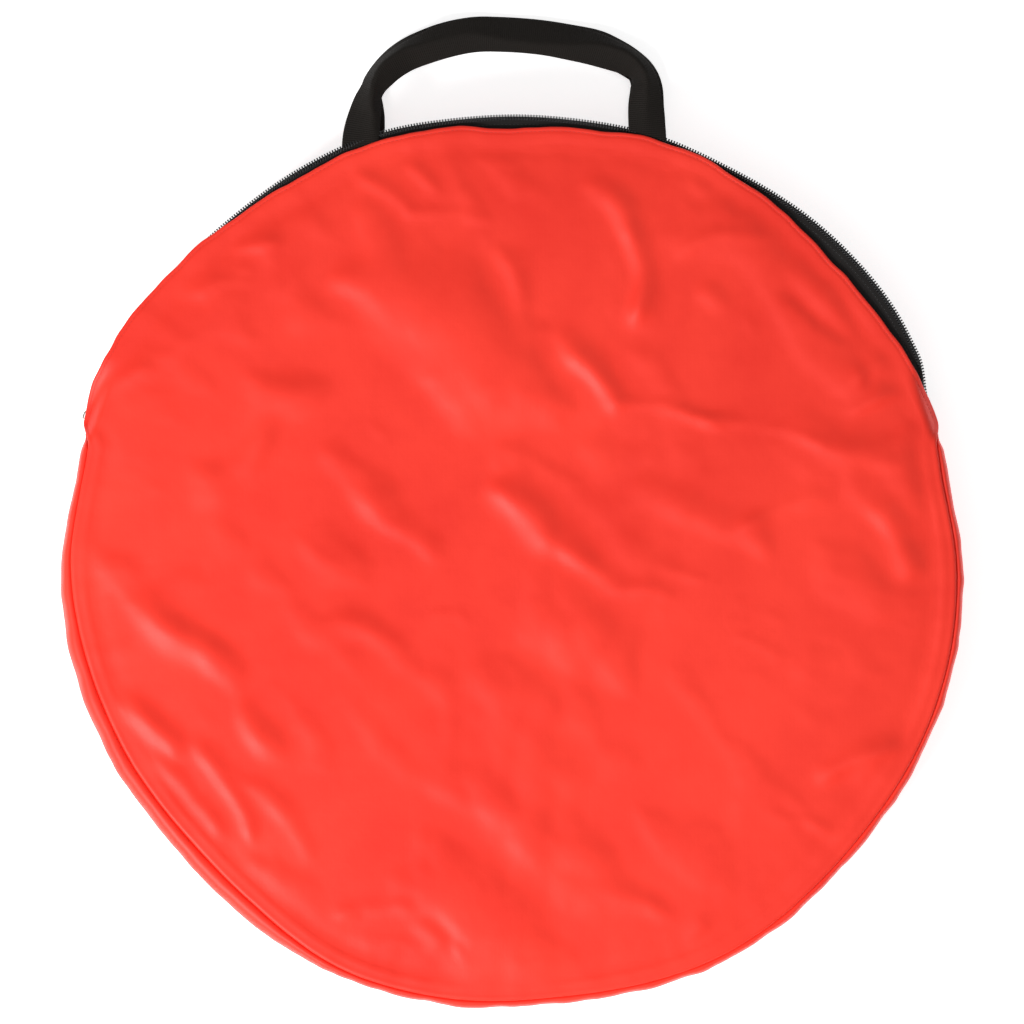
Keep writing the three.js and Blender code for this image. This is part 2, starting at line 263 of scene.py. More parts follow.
def spline(points, count):
    """A smooth line through the points (Catmull-Rom), as evenly spaced samples."""
    p = np.asarray(points, float)
    p = np.vstack([2 * p[0] - p[1], p, 2 * p[-1] - p[-2]])
    out = []
    for i in range(1, len(p) - 2):
        t = np.linspace(0, 1, 24, endpoint=False)[:, None]
        a, b, c, d = p[i - 1], p[i], p[i + 1], p[i + 2]
        square, cube = 2 * a - 5 * b + 4 * c - d, 3 * b - a - 3 * c + d
        out.append(0.5 * (2 * b + (c - a) * t + square * t**2 + cube * t**3))
    out = np.vstack([*out, p[-2:-1]])
    s = distance_along(out)
    return resample(np.linspace(0, s[-1], count), s, out)


def stitches(name, path, ups, pitch, length, radius):
    """A row of thread stitches along a path: short rounded bars that lie on the cloth."""
    path, ups = np.asarray(path, float), unit(ups)
    s = distance_along(path)
    rings = [(0.0, 0.0), (0.25, 1.0), (0.75, 1.0), (1.0, 0.0)]
    around = round_section(6)
    faces_of_one = tube_faces(len(rings), len(around))
    points, faces = [], []
    for u in np.arange(pitch / 2, s[-1] - pitch / 2, pitch):
        centre = [resample(u + f * length, s, path) for f, _ in rings]
        up = unit(resample(u, s, ups))
        side = np.cross(unit(centre[-1] - centre[0]), up)
        base = len(points)
        for (f, r), c in zip(rings, centre):
            lift = radius * (0.2 + 0.7 * math.sin(math.pi * f))
            for across, high in around:
                points.append(c + up * lift + radius * max(r, 0.25) * (across * side + high * up))
        faces += [[base + i for i in face] for face in faces_of_one]
    return outward(mesh_object(name, points, faces))


# ---------------------------------------------------------------- materials

class Nodes:
    """Short names for building one material's node tree."""

    def __init__(self, name, colour, roughness, metallic=0.0):
        self.material = bpy.data.materials.new(name)
        self.material.use_nodes = True
        self.tree = self.material.node_tree
        self.shader = self.tree.nodes["Principled BSDF"]
        self.set(self.shader, **{"Base Color": (*colour, 1), "Roughness": roughness, "Metallic": metallic})

    def set(self, node, **values):
        for key, value in values.items():
            node.inputs[key.replace("_", " ")].default_value = value

    def add(self, kind, links=None, **values):
        node = self.tree.nodes.new(kind)
        self.set(node, **values)
        for socket, source in (links or {}).items():
            self.tree.links.new(source, node.inputs[socket])
        return node

    def math(self, operation, a, b=None, clamp=False):
        node = self.tree.nodes.new("ShaderNodeMath")
        node.operation = operation
        node.use_clamp = clamp
        for i, value in enumerate((a, b)):
            if value is None:
                continue
            if isinstance(value, (int, float)):
                node.inputs[i].default_value = value
            else:
                self.tree.links.new(value, node.inputs[i])
        return node.outputs[0]

    def ranged(self, value, gain, low):
        """The value stretched by the gain, from low up."""
        return self.math("ADD", self.math("MULTIPLY", value, gain), low)

    def weigh(self, a, share, b):
        """A share of a, and the rest of b."""
        return self.math("ADD", self.math("MULTIPLY", a, share), self.math("MULTIPLY", b, 1 - share))

    def mix(self, factor, a, b):
        """Colour a where factor is 0, b where it is 1."""
        node = self.tree.nodes.new("ShaderNodeMix")
        node.data_type = "RGBA"
        for socket, value in ((node.inputs[0], factor), (node.inputs[6], a), (node.inputs[7], b)):
            if isinstance(value, tuple):
                socket.default_value = (*value, 1)
            elif isinstance(value, (int, float)):
                socket.default_value = value
            else:
                self.tree.links.new(value, socket)
        return node.outputs[2]

    def object_coordinates(self):
        return self.add("ShaderNodeTexCoord").outputs["Object"]

    def uv(self):
        return self.add("ShaderNodeTexCoord").outputs["UV"]

    def noise(self, vector, scale, detail=3.0, roughness=0.5):
        values = {"Scale": scale, "Detail": detail, "Roughness": roughness}
        return self.add("ShaderNodeTexNoise", {"Vector": vector}, **values).outputs["Fac"]

    def waves(self, axis, period, sharp=False):
        """Ridges along one coordinate, 0 to 1, a period apart."""
        turns = self.math("MULTIPLY", axis, 2 * math.pi / period)
        ridge = self.ranged(self.math("SINE", turns), 0.5, 0.5)
        return self.math("POWER", ridge, 0.5) if sharp else ridge

    def split(self, vector):
        node = self.add("ShaderNodeSeparateXYZ", {0: vector})
        return node.outputs[0], node.outputs[1], node.outputs[2]

    def bump(self, height, distance, strength=1.0, normal=None):
        links = {"Height": height}
        if normal is not None:
            links["Normal"] = normal
        node = self.add("ShaderNodeBump", links, Strength=strength, Distance=distance)
        return node.outputs["Normal"]

    def join(self, output, socket):
        self.tree.links.new(output, self.shader.inputs[socket])


def taffeta(name, bright, deep):
    """Coated polyester taffeta: a fine plain weave with a soft sheen, and faint handling creases."""
    n = Nodes(name, bright, 0.5)
    place = n.object_coordinates()
    x, y, _ = n.split(place)
    weave = n.math("MULTIPLY", n.waves(x, 0.9 * MM), n.waves(y, 0.9 * MM))
    cloudy = n.noise(place, 9, 4, 0.6)
    patches = n.noise(place, 34, 5, 0.62)
    tone = n.math("MULTIPLY", n.math("SUBTRACT", cloudy, 0.30), 2.6, clamp=True)
    n.join(n.mix(n.weigh(tone, 0.75, patches), deep, bright), "Base Color")
    n.join(n.ranged(patches, 0.16, 0.42), "Roughness")
    crease = n.noise(place, 48, 4, 0.6)
    normal = n.bump(crease, 1.6 * MM, 0.17)
    n.join(n.bump(weave, 0.08 * MM, 0.35, normal), "Normal")
    n.set(n.shader, Sheen_Weight=0.06, Sheen_Roughness=0.35, Specular_IOR_Level=0.32)
    n.shader.inputs["Sheen Tint"].default_value = (1.0, 0.6, 0.55, 1)
    return n.material


def webbing(name, colour, rib=1.35 * MM, light=1.7):
    """Woven polypropylene webbing: ribs across the strap, a finer yarn along it."""
    n = Nodes(name, colour, 0.78)
    n.set(n.shader, Specular_IOR_Level=0.16, Sheen_Weight=0.02, Sheen_Roughness=0.5)
    u, v, _ = n.split(n.uv())
    ribs = n.waves(v, rib, sharp=True)
    yarns = n.waves(u, 1.1 * MM)
    fuzz = n.noise(n.object_coordinates(), 900, 2)
    height = n.weigh(ribs, 0.75, yarns)
    lit = tuple(min(1, c * light) for c in colour)
    shade = n.math("MULTIPLY", height, n.ranged(fuzz, 0.8, 0.35), clamp=True)
    n.join(n.mix(shade, colour, lit), "Base Color")
    n.join(n.bump(fuzz, 0.10 * MM, 0.3, n.bump(height, 0.35 * MM, 0.8)), "Normal")
    return n.material


def zip_tape(name, colour):
    """Knitted zip tape: a herringbone, with lengthwise cords."""
    n = Nodes(name, colour, 0.8)
    u, v, _ = n.split(n.uv())
    cord_gap = 1.6 * MM
    leaning = n.math("ADD", v, n.math("PINGPONG", u, cord_gap))
    height = n.weigh(n.waves(leaning, 0.9 * MM), 0.6, n.waves(u, cord_gap, sharp=True))
    # The raised cords and herringbone crests are painted up to 1.9 times lighter than the grooves: painted
    # highlight on the tops and painted shade in the grooves of the knit.
    n.join(n.mix(height, colour, tuple(c * 1.9 for c in colour)), "Base Color")
    n.join(n.bump(height, 0.25 * MM, 0.8), "Normal")
    n.set(n.shader, Specular_IOR_Level=0.25, Sheen_Weight=0.03, Sheen_Roughness=0.5)
    return n.material


def nylon_coil():
    n = Nodes("nylon_coil", (0.012, 0.012, 0.013), 0.45)
    wear = n.noise(n.object_coordinates(), 700, 2)
    n.join(n.ranged(wear, 0.25, 0.36), "Roughness")
    n.set(n.shader, Specular_IOR_Level=0.35)
    return n.material


def nickel():
    """Plated die-cast zinc: bright, with fine tumbling marks and duller patches."""
    n = Nodes("nickel", (0.78, 0.76, 0.70), 0.22, 1.0)
    place = n.object_coordinates()
    marks = n.noise(place, 2400, 3)
    patches = n.noise(place, 260, 4)
    n.join(n.ranged(patches, 0.28, 0.10), "Roughness")
    n.join(n.mix(patches, (0.62, 0.60, 0.55), (0.84, 0.82, 0.77)), "Base Color")
    n.join(n.bump(marks, 0.03 * MM, 0.4), "Normal")
    return n.material


def spring_steel():
    n = Nodes("spring_steel", (0.45, 0.46, 0.48), 0.34, 1.0)
    place = n.object_coordinates()
    streaks = n.noise(place, 420, 4)
    n.join(n.ranged(streaks, 0.3, 0.2), "Roughness")
    n.join(n.mix(streaks, (0.33, 0.33, 0.34), (0.55, 0.56, 0.58)), "Base Color")
    n.join(n.bump(streaks, 0.05 * MM, 0.4), "Normal")
    return n.material


def hook_and_loop():
    n = Nodes("hook_and_loop", (0.012, 0.012, 0.012), 0.95)
    place = n.object_coordinates()
    cells = n.add("ShaderNodeTexVoronoi", {"Vector": place}, Scale=1300.0).outputs["Distance"]
    fuzz = n.noise(place, 1600, 3)
    height = n.math("ADD", cells, n.math("MULTIPLY", fuzz, 0.6))
    # Where the hooks and loops stand high they are painted lighter, and darker in the hollows between them:
    # painted highlight and painted shade on the relief.
    n.join(n.mix(height, (0.006, 0.006, 0.006), (0.05, 0.05, 0.05)), "Base Color")
    n.join(n.bump(height, 0.5 * MM, 1.0), "Normal")
    n.set(n.shader, Sheen_Weight=0.6, Sheen_Roughness=0.6)
    return n.material


def thread(name, colour):
    n = Nodes(name, colour, 0.6)
    twist = n.noise(n.object_coordinates(), 3000, 2)
    dark, light = tuple(c * 0.7 for c in colour), tuple(min(1, c * 1.25) for c in colour)
    n.join(n.mix(twist, dark, light), "Base Color")
    n.join(n.bump(twist, 0.05 * MM, 0.6), "Normal")
    return n.material


RED = taffeta("bag_taffeta", (0.95, 0.042, 0.021), (0.80, 0.022, 0.010))
TUNNEL_RED = taffeta("tunnel_taffeta", (0.80, 0.045, 0.032), (0.62, 0.026, 0.02))
WEBBING = webbing("handle_webbing", (0.0072, 0.0056, 0.0044))
STRAP = webbing("strap_webbing", (0.012, 0.012, 0.012), rib=1.0 * MM)
BINDING = webbing("binding_tape", (0.014, 0.014, 0.014), rib=0.8 * MM)
TAPE = zip_tape("zip_tape_knit", (0.0085, 0.0072, 0.0068))
COIL = nylon_coil()
NICKEL = nickel()
STEEL = spring_steel()
FUZZ = hook_and_loop()
RED_THREAD = thread("red_thread", (0.70, 0.035, 0.025))
BLACK_THREAD = thread("black_thread", (0.03, 0.03, 0.03))

# ---------------------------------------------------------------- camera, light, floor

WORLD_LIGHT = 0.34
KEY_LIGHT = 92
FILL_LIGHT = 4
OVERHEAD_LIGHT = 10
FLOOR_GLOW = 0.70


def camera():
    """Straight above the bag, with the handles to the top of the picture."""
    data = bpy.data.cameras.new("camera")
    cam = bpy.data.objects.new("camera", data)
    bpy.context.scene.collection.objects.link(cam)
    distance = 5.0
    picture_width = 0.682  # of the plane at the height of the zip's open coil
    data.lens = data.sensor_width * distance / picture_width
    data.clip_end = 50
    cam.location = (-0.0003, 0.0320, FRONT_COIL_Z - 4 * MM + distance)
    cam.rotation_euler = (0, 0, 0)
    bpy.context.scene.camera = cam


def area_light(name, place, size, power):
    data = bpy.data.lights.new(name, "AREA")
    data.size = size
    data.energy = power
    lamp = bpy.data.objects.new(name, data)
    lamp.location = place
    lamp.rotation_mode = "QUATERNION"
    lamp.rotation_quaternion = (-Vector(place)).to_track_quat("-Z", "Y")
    bpy.context.scene.collection.objects.link(lamp)


def studio():
    """Soft light, strongest from the lower left of the picture, over a pale floor that glows a little."""
    scene = bpy.context.scene
    scene.view_settings.view_transform = "Standard"
    world = bpy.data.worlds.new("studio")
    scene.world = world
    world.use_nodes = True
    background = world.node_tree.nodes["Background"]
    background.inputs["Color"].default_value = (1, 1, 1, 1)
    background.inputs["Strength"].default_value = WORLD_LIGHT
    area_light("key", (-1.6, -1.5, 1.95), 1.0, KEY_LIGHT)
    area_light("fill", (1.9, 0.8, 2.4), 1.8, FILL_LIGHT)
    area_light("overhead", (-0.4, -0.8, 3.5), 2.2, OVERHEAD_LIGHT)
    floor = mesh_object("floor", [(-6, -6, 0), (6, -6, 0), (6, 6, 0), (-6, 6, 0)], [(0, 1, 2, 3)])
    n = Nodes("floor_white", (0.90, 0.90, 0.90), 0.9)
    n.set(n.shader, Emission_Strength=FLOOR_GLOW)
    n.shader.inputs["Emission Color"].default_value = (1, 1, 1, 1)
    floor.data.materials.append(n.material)
    floor.location.z = -0.5 * MM


camera()
studio()

# ---------------------------------------------------------------- bag cloth

# Soft folds of the front panel: from x, y to x, y, half width and height, all in mm. Their ends were read
# off the photograph and scaled to mm.
FOLDS = (
    (-290, 4, -239, -43, 12, 3.2), (-239, -43, -157, -125, 15, 3.4), (-253, -130, -200, -193, 7, 2.4),
    (-268, -96, -226, -134, 9, 1.8), (-214, -128, -176, -196, 6, 1.8), (-176, -150, -132, -206, 10, 1.7),
    (-118, -236, -70, -229, 5, 2.0), (-74, -226, -34, -262, 6, 2.2), (-110, -250, -60, -256, 4, 1.2),
    (-104, 258, -68, 227, 6, -1.8), (-70, 228, -10, 222, 4, -1.6), (-92, 270, -50, 244, 7, 1.6),
    (-22, 222, 10, 178, 12, 2.4), (6, 176, 44, 132, 11, 2.6), (40, 136, 70, 98, 9, 2.6),
    (50, 252, 78, 214, 9, -2.2), (76, 220, 82, 158, 10, -2.4), (66, 102, 140, 88, 4, 1.7),
    (132, 94, 212, 72, 3.5, 1.5), (-12, 50, 24, 10, 11, 2.2), (20, 12, 72, -20, 8, 2.0),
    (66, -18, 106, -26, 5, 1.2), (98, -6, 184, -44, 4, 1.0), (132, -48, 180, -66, 3, 0.9),
    (8, 76, 50, 50, 10, -1.6), (-198, 40, -132, 118, 26, 3.4), (-128, 74, -86, 30, 16, 1.8),
    (-86, 24, -34, -28, 12, 1.4), (-120, -40, -40, -90, 14, 1.4), (-30, -40, 40, -76, 18, 1.3),
    (84, 40, 176, 0, 14, 1.4), (176, 178, 220, 146, 8, 2.4), (218, 150, 238, 108, 7, 2.0),
    (226, 118, 262, 138, 6, -1.8), (224, 98, 270, 112, 6, 2.0), (246, 84, 282, 98, 4, -1.6),
    (214, 72, 262, 60, 8, 1.6), (238, 36, 262, -14, 9, 1.8), (232, -52, 294, -26, 7, 1.6),
    (204, -146, 254, -122, 6, 1.8), (176, -164, 214, -186, 5, 1.3), (112, -262, 128, -236, 5, 1.6),
    (60, -226, 110, -240, 8, 1.3), (-184, 204, -154, 210, 4, 1.2), (-206, 172, -172, 186, 4, -1.2),
    (-230, 128, -196, 152, 6, -1.4), (-262, 96, -230, 124, 8, -1.6), (140, 232, 196, 220, 5, -1.4),
    (110, 204, 168, 214, 5, -1.3), (96, 258, 128, 240, 5, 1.2), (20, -140, 150, -168, 20, 1.3),
    (-60, -150, 10, -190, 18, 1.2), (120, 176, 168, 150, 12, 1.4), (-120, 190, -60, 150, 16, -1.5),
    (-60, 120, -10, 96, 18, -1.3), (150, 20, 214, 40, 7, 1.1),
)


def fold_height(x, y):
    """Height of the folds in the table at points in metres, in metres."""
    total = np.zeros_like(x)
    wander = 7 * MM * crumple(x, y, 15.5, 0.034)
    uneven = 1 + 0.9 * crumple(x, y, 18.5, 0.026)
    for x0, y0, x1, y1, width, height in FOLDS:
        a, b = np.array([x0, y0]) * MM, np.array([x1, y1]) * MM
        d = b - a
        length = np.linalg.norm(d)
        along = ((x - a[0]) * d[0] + (y - a[1]) * d[1]) / length
        bow = 0.07 * length * np.sin(np.pi * np.clip(along / length, 0, 1))
        across = ((x - a[0]) * -d[1] + (y - a[1]) * d[0]) / length - bow
        taper = np.exp(-((np.clip(np.abs(along / length - 0.5) - 0.36, 0, None) / 0.16) ** 2))
        w = width * MM
        side = np.where(across > 0, w, 0.55 * w)  # one side of a cloth fold is steeper
        across = across + wander * min(1, width / 9)
        total += height * MM * taper * uneven * np.exp(-((across / side) ** 2))
    return total


def crumple(x, y, seed, wavelength):
    """Smooth noise, about -1 to 1, at points in metres."""
    at = zip((np.ravel(x) / wavelength).tolist(), (np.ravel(y) / wavelength).tolist())
    return np.array([noise.noise(Vector((px, py, seed))) for px, py in at]).reshape(np.shape(x))


def edge_noise(a, seed, wavelength):
    """Smooth noise round the bag's edge, at angles in radians."""
    return crumple(PANEL_R * np.cos(a), PANEL_R * np.sin(a), seed, wavelength)


def resting_height(x, y):
    """The front panel's shape without folds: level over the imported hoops, and lower outside them."""
    r, a = np.hypot(x, y), np.arctan2(y, x)
    # The hoops' edge shows plainly at the upper left, faintly at the upper right and hardly at all below.
    plain = np.exp(-((a - 2.45) / 0.55) ** 2) + 0.45 * np.exp(-((a - 0.75) / 0.35) ** 2)
    start = 0.225 + 0.036 * np.minimum(plain, 1)
    high = TOP_Z - 0.6 * MM
    return high - (high - RIM_Z) * smooth(r, start, 0.288)


# The front panel's cloth as it settles on the pack: a triangular net of points. Its links keep the lengths
# that they have in the folded shape it starts from, times SLACK.
NET = 4.6 * MM
NET_R = 0.286
SLACK = 1.0006
SETTLING_STEPS = 36
PULL = (math.cos(math.radians(-38)), math.sin(math.radians(-38)))
FALL = 0.010 * MM  # what gravity adds to each step


def settled_cloth():
    """Drops the net on the pack, with its edge held, and returns how each point of it moved."""
    half = int(NET_R / NET * 1.2) + 2
    j, i = np.meshgrid(np.arange(-half, half + 1), np.arange(-2 * half, 2 * half + 1), indexing="ij")
    x, y = (i + j / 2) * NET, j * NET * math.sqrt(3) / 2
    r = np.hypot(x, y)
    index = np.full(r.shape, -1)
    inside = r < NET_R
    index[inside] = np.arange(inside.sum())
    px, py, pr = x[inside], y[inside], r[inside]
    shape = resting_height(px, py)
    # The cloth was pulled on from the lower right, so that its softer folds run that way.
    along, over = PULL[0] * px + PULL[1] * py, PULL[0] * py - PULL[1] * px
    start = 3.6 * crumple(along / 2.0, over, 3.1, 0.080) + 1.5 * crumple(along / 2.2, over, 7.7, 0.034)
    start = start + 2.6 * np.abs(crumple(along / 1.7, over, 11.3, 0.062))
    start = start + 0.9 * np.abs(crumple(px, py, 9.1, 0.030))
    start = start + 0.3 * crumple(along / 1.6, over, 2.2, 0.014) - 0.5
    start = (start * MM + fold_height(px, py)) * (1 - smooth(pr, 0.268, 0.2855))
    points = np.stack([px, py, shape + start], -1)
    under = shape - (0.3 + 1.2 * (1 - smooth(pr, 0.095, 0.130)) + 1.2 * smooth(pr, 0.270, 0.278)) * MM
    held = pr > 0.2825

    groups = []
    for di, dj in ((1, 0), (0, 1), (-1, 1)):
        for reach in (1, 2, 4):
            other = np.roll(index, (-dj * reach, -di * reach), (0, 1))
            pairs = (index >= 0) & (other >= 0)
            row = i if dj == 0 else j
            for turn in range(2 * reach):
                part = pairs & (row % (2 * reach) == turn)
                a, b = index[part], other[part]
                rest = SLACK * np.linalg.norm(points[b] - points[a], axis=1, keepdims=True)
                groups.append((a, b, rest, 0.9 if reach == 1 else 0.5))  # the longer links resist bending
    weight = np.where(held, 0.0, 1.0)[:, None]
    velocity = np.zeros_like(points)
    for _ in range(SETTLING_STEPS):
        before = points.copy()
        points = points + weight * (velocity + np.array([0, 0, -FALL]))
        for _ in range(4):
            for a, b, rest, stiff in groups:
                gap = points[b] - points[a]
                length = np.linalg.norm(gap, axis=1, keepdims=True)
                wa, wb = weight[a], weight[b]
                push = stiff * (length - rest) / (length * np.maximum(wa + wb, 1)) * gap
                points[a] += wa * push
                points[b] -= wb * push
            points[:, 2] = np.maximum(points[:, 2], under)
        velocity = 0.8 * (points - before)
    moved = np.zeros((*r.shape, 3))
    moved[inside] = points - np.stack([px, py, shape], -1)
    return moved, half


def sample_net(net, x, y):
    """The net's movement at any points, blended smoothly from the nearest of its own."""
    moved, half = net
    v = y / (NET * math.sqrt(3) / 2)
    u = x / NET - v / 2
    u0, v0 = np.floor(u).astype(int), np.floor(v).astype(int)
    total, weights = 0, 0
    for dv in range(-1, 3):
        for du in range(-1, 3):
            iu, iv = u0 + du, v0 + dv
            gap_u, gap_v = u - iu, v - iv
            distance2 = gap_u**2 + gap_u * gap_v + gap_v**2
            w = np.exp(-distance2 / (2 * 0.62**2))[:, None]
            total = total + w * moved[np.clip(iv + half, 0, 2 * half), np.clip(iu + 2 * half, 0, 4 * half)]
            weights = weights + w
    return total / weights


def polar(count):
    """Evenly spaced angles round the bag, in radians and in degrees."""
    a = np.linspace(0, 2 * np.pi, count, endpoint=False)
    return a, np.degrees(a)


def seam_in(deg):
    """How far the lower seam lies inside the bag's outline: the gusset shows outside it."""
    d = np.mod(deg, 360)
    left = smooth(d, 168, 200) * (1 - smooth(d, 232, 250))
    return (5.2 + 6.5 * left) * MM


def edge_radius(deg):
    """Radius of the cloth's edge as seen from the front, with its small irregularities."""
    a = np.radians(deg)
    zipped = zip_part(deg)
    uneven = 1.5 * edge_noise(a, 5.5, 0.034) + 0.8 * edge_noise(a, 8.5, 0.013)
    return PANEL_R + (edge_out(deg) + uneven * (0.12 + 0.88 * zipped)) * MM


COLUMNS = 900
CLOTH_THICK = 0.35 * MM

# The last rings of the front panel, as out and up in mm from its edge: rolled into a hem over the
# zip's tape, or turned down into the seam with the gusset.
HEM_TURN = (
    (-8, 0), (-5, 0.15), (-3.4, 0.1), (-2.9, -0.12), (-2.4, 0.1), (-1.4, 0.12), (-0.6, -0.1), (-0.1, -0.5),
    (0, -1), (-0.5, -1.5), (-2, -1.7), (-7, -1.8),
)
SEAM_TURN = (
    (-9, -0.05), (-6.5, -0.2), (-4.8, -0.35), (-3.4, -0.35), (-2.4, -0.3), (-1.5, -0.4), (-0.8, -0.7),
    (-0.3, -1.2), (0, -1.9), (0, -3.2), (-0.5, -4.4), (-3, -4.8),
)


def front_cloth():
    """One continuous cloth: sewn to the gusset below the zip's ends, hemmed over the zip tape above them."""
    a, deg = polar(COLUMNS)
    net = settled_cloth()
    zipped = zip_part(deg)
    edge_r = edge_radius(deg)
    r_end = edge_r - (1 - zipped) * seam_in(deg)
    closing = (1 - mouth_open(deg)) * zipped
    tucks = 0.9 * edge_noise(a, 14.2, 0.034) + 0.3 * edge_noise(a, 3.2, 0.014)
    tucks = np.where(zipped > 0.5, np.maximum(tucks, -0.1), tucks)  # clear of the handles' feet
    flat_rings = np.concatenate([np.linspace(0.003, 0.25, 98), np.linspace(0.2522, 0.2815, 16)])
    rings = [(r, None) for r in flat_rings] + [(None, i) for i in range(len(HEM_TURN))]
    points = []
    for r, turn in rings:
        if turn is None:
            rr = r * (1 + (r_end / PANEL_R - 1) * smooth(r, 0.2, 0.29))
            plain_x, plain_y = r * np.cos(a), r * np.sin(a)
            moved = sample_net(net, plain_x, plain_y)
            x, y = rr * np.cos(a) + moved[:, 0], rr * np.sin(a) + moved[:, 1]
            z = resting_height(plain_x, plain_y) + moved[:, 2]
            z = z + tucks * MM * smooth(r, 0.235, 0.281)
            z = np.where(zipped > 0.5, np.maximum(z, RIM_Z - 0.5 * MM), z)
        else:
            (ho, hu), (so, su) = HEM_TURN[turn], SEAM_TURN[turn]
            rr = r_end + (zipped * ho + (1 - zipped) * so) * MM
            x, y = rr * np.cos(a), rr * np.sin(a)
            fade = 1 - turn / (len(HEM_TURN) - 1)
            z = RIM_Z + (zipped * hu + (1 - zipped) * su) * MM + tucks * MM * fade
        z = z - CLOSING_DIP * closing * smooth(rr, 0.2895, 0.2985)
        points.append(np.stack([x, y, z], -1))
    pts = np.vstack([*points, points[0].mean(0, keepdims=True)])
    obj = mesh_object("front_cloth", pts, disc_faces(len(rings), COLUMNS), pts[:, :2])
    if obj.data.polygons[-1].normal.z < 0:
        obj.data.flip_normals()
    sheet_thickness(obj, CLOTH_THICK)
    finish_piece(obj, RED, nodes=("front_panel", "front_flap"))
    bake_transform(obj)

    stitch_a = np.linspace(math.radians(180 - ZIP_END - 2), math.radians(ZIP_END + 2), 900)
    k = (stitch_a % (2 * np.pi)) / (2 * np.pi) * COLUMNS
    row = points[len(rings) - len(HEM_TURN) + 3]
    closed_row = np.vstack([row, row[:1]])
    line = resample(k, np.arange(COLUMNS + 1), closed_row)
    sewing = stitches("front_hem_thread", line, np.tile(UP, (len(line), 1)), 2.9 * MM, 2.3 * MM, 0.17 * MM)
    finish_piece(sewing, RED_THREAD)
    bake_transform(sewing)


def gusset_cloth():
    """The side strip, sewn to both panels and bulging outside both seams, with a few upright puckers."""
    deg = np.linspace(180 - ZIP_END - 0.5, 360 + ZIP_END + 0.5, 760)
    a = np.radians(deg)
    edge_r = edge_radius(deg)
    top_r = edge_r - seam_in(deg) * (1 - zip_part(deg))
    low_r = np.full_like(deg, PANEL_R - 0.6 * MM)
    end = smooth(deg, deg[0], deg[0] + 3) * (1 - smooth(deg, deg[-1] - 3, deg[-1]))
    puckers = edge_noise(a, 4.2, 0.022)
    fine = edge_noise(a, 9.2, 0.009)
    top_z, low_z = RIM_Z - 2.2 * MM, 1.3 * MM
    middle, half = (top_z + low_z) / 2, (top_z - low_z) / 2
    rows = []
    for out, up in ((-5, 0.9), (-1.5, 0.6), (0, 0.1)):
        rows.append((low_r + out * MM, np.full_like(a, low_z + up * MM)))
    levels = 30
    for k in range(1, levels):
        phi = math.pi * (k / levels - 0.5)
        lean = low_r + (top_r - low_r) * (0.5 + 0.5 * math.sin(phi))
        reach = (edge_r - lean) * math.cos(phi) ** 0.55
        # The seams gather the strip: it puckers near them, and is smooth where it bulges most.
        wave = (0.5 * puckers + 0.2 * fine) * math.cos(phi) ** 0.5 * MM
        wave = wave + (0.9 * puckers + 0.3 * fine) * abs(math.sin(2 * phi)) * MM
        z = middle + half * math.copysign(abs(math.sin(phi)) ** 0.85, phi)
        rows.append((lean + (reach + wave) * (0.3 + 0.7 * end), z + 0.9 * MM * puckers * math.cos(phi)))
    for out, up in ((0.25, -0.9), (0, -2), (-0.8, -3), (-4, -3.4)):
        rows.append((top_r + out * MM, np.full_like(a, top_z + up * MM)))
    fold_in = 5 * MM * (1 - smooth(deg, deg[0], deg[0] + 0.5) * (1 - smooth(deg, deg[-1] - 0.5, deg[-1])))
    drop = CLOSING_DIP * (1 - smooth(np.minimum(deg - deg[0], deg[-1] - deg), 0, 2.2))
    pts = []
    for radius, z in rows:
        radius = radius - fold_in
        z = np.where(z > middle, z - drop * (z - middle) / half, z)
        pts.append(np.stack([radius * np.cos(a), radius * np.sin(a), np.broadcast_to(z, a.shape)], -1))
    uv = np.stack([np.repeat(np.linspace(0, 0.06, len(rows)), len(a)), np.tile(a * PANEL_R, len(rows))], -1)
    obj = mesh_object("gusset_cloth", np.vstack(pts), grid_faces(len(rows), len(a)), uv)
    sheet_thickness(obj, CLOTH_THICK, 1)
    finish_piece(obj, RED, "bag", ("gusset",))


def back_cloth():
    """The back panel, flat on the floor, with its edge folded up into the seam and the zip."""
    a, _ = polar(600)
    rings = np.concatenate([np.linspace(0.004, 0.27, 60), np.linspace(0.273, PANEL_R - 1 * MM, 12)])
    rows = []
    for r in rings:
        x, y = r * np.cos(a), r * np.sin(a)
        lift = (1 + crumple(x, y, 21.7, 0.07)) * 0.42 + (1 + crumple(x, y, 31.7, 0.022)) * 0.12
        rows.append(np.stack([x, y, 0.15 * MM + lift * MM * smooth(r, 0.0, 0.05)], -1))
    for out, up in ((-0.3, 0.3), (0.0, 0.8), (-0.3, 1.2), (-1.5, 1.4), (-6, 1.5)):
        r = PANEL_R + out * MM
        rows.append(np.stack([r * np.cos(a), r * np.sin(a), np.full_like(a, up * MM)], -1))
    pts = np.vstack([*rows, [[0, 0, 0.3 * MM]]])
    obj = mesh_object("back_cloth", pts, disc_faces(len(rows), len(a)), pts[:, :2])
    sheet_thickness(obj, 0.3 * MM, 0)
    finish_piece(obj, RED, "bag", ("back_panel",))


def seam_binding(side, radius, height):
    """The tape that binds a seam's raw edge, inside the bag."""
    deg = np.linspace(180 - ZIP_END + 0.5, 360 + ZIP_END - 0.5, 420)
    a = np.radians(deg)
    radial, up = spokes(a), np.tile(UP, (len(a), 1))
    r = radius(deg) + 0.3 * MM * edge_noise(a, 6.1, 0.02)
    section = strap_section(5 * MM, 0.9 * MM)
    obj = sweep(f"{side}_binding", radial * r[:, None] + up * height, radial, up, section)
    finish_piece(obj, BINDING, "bag", (f"{side}_seam_binding",))


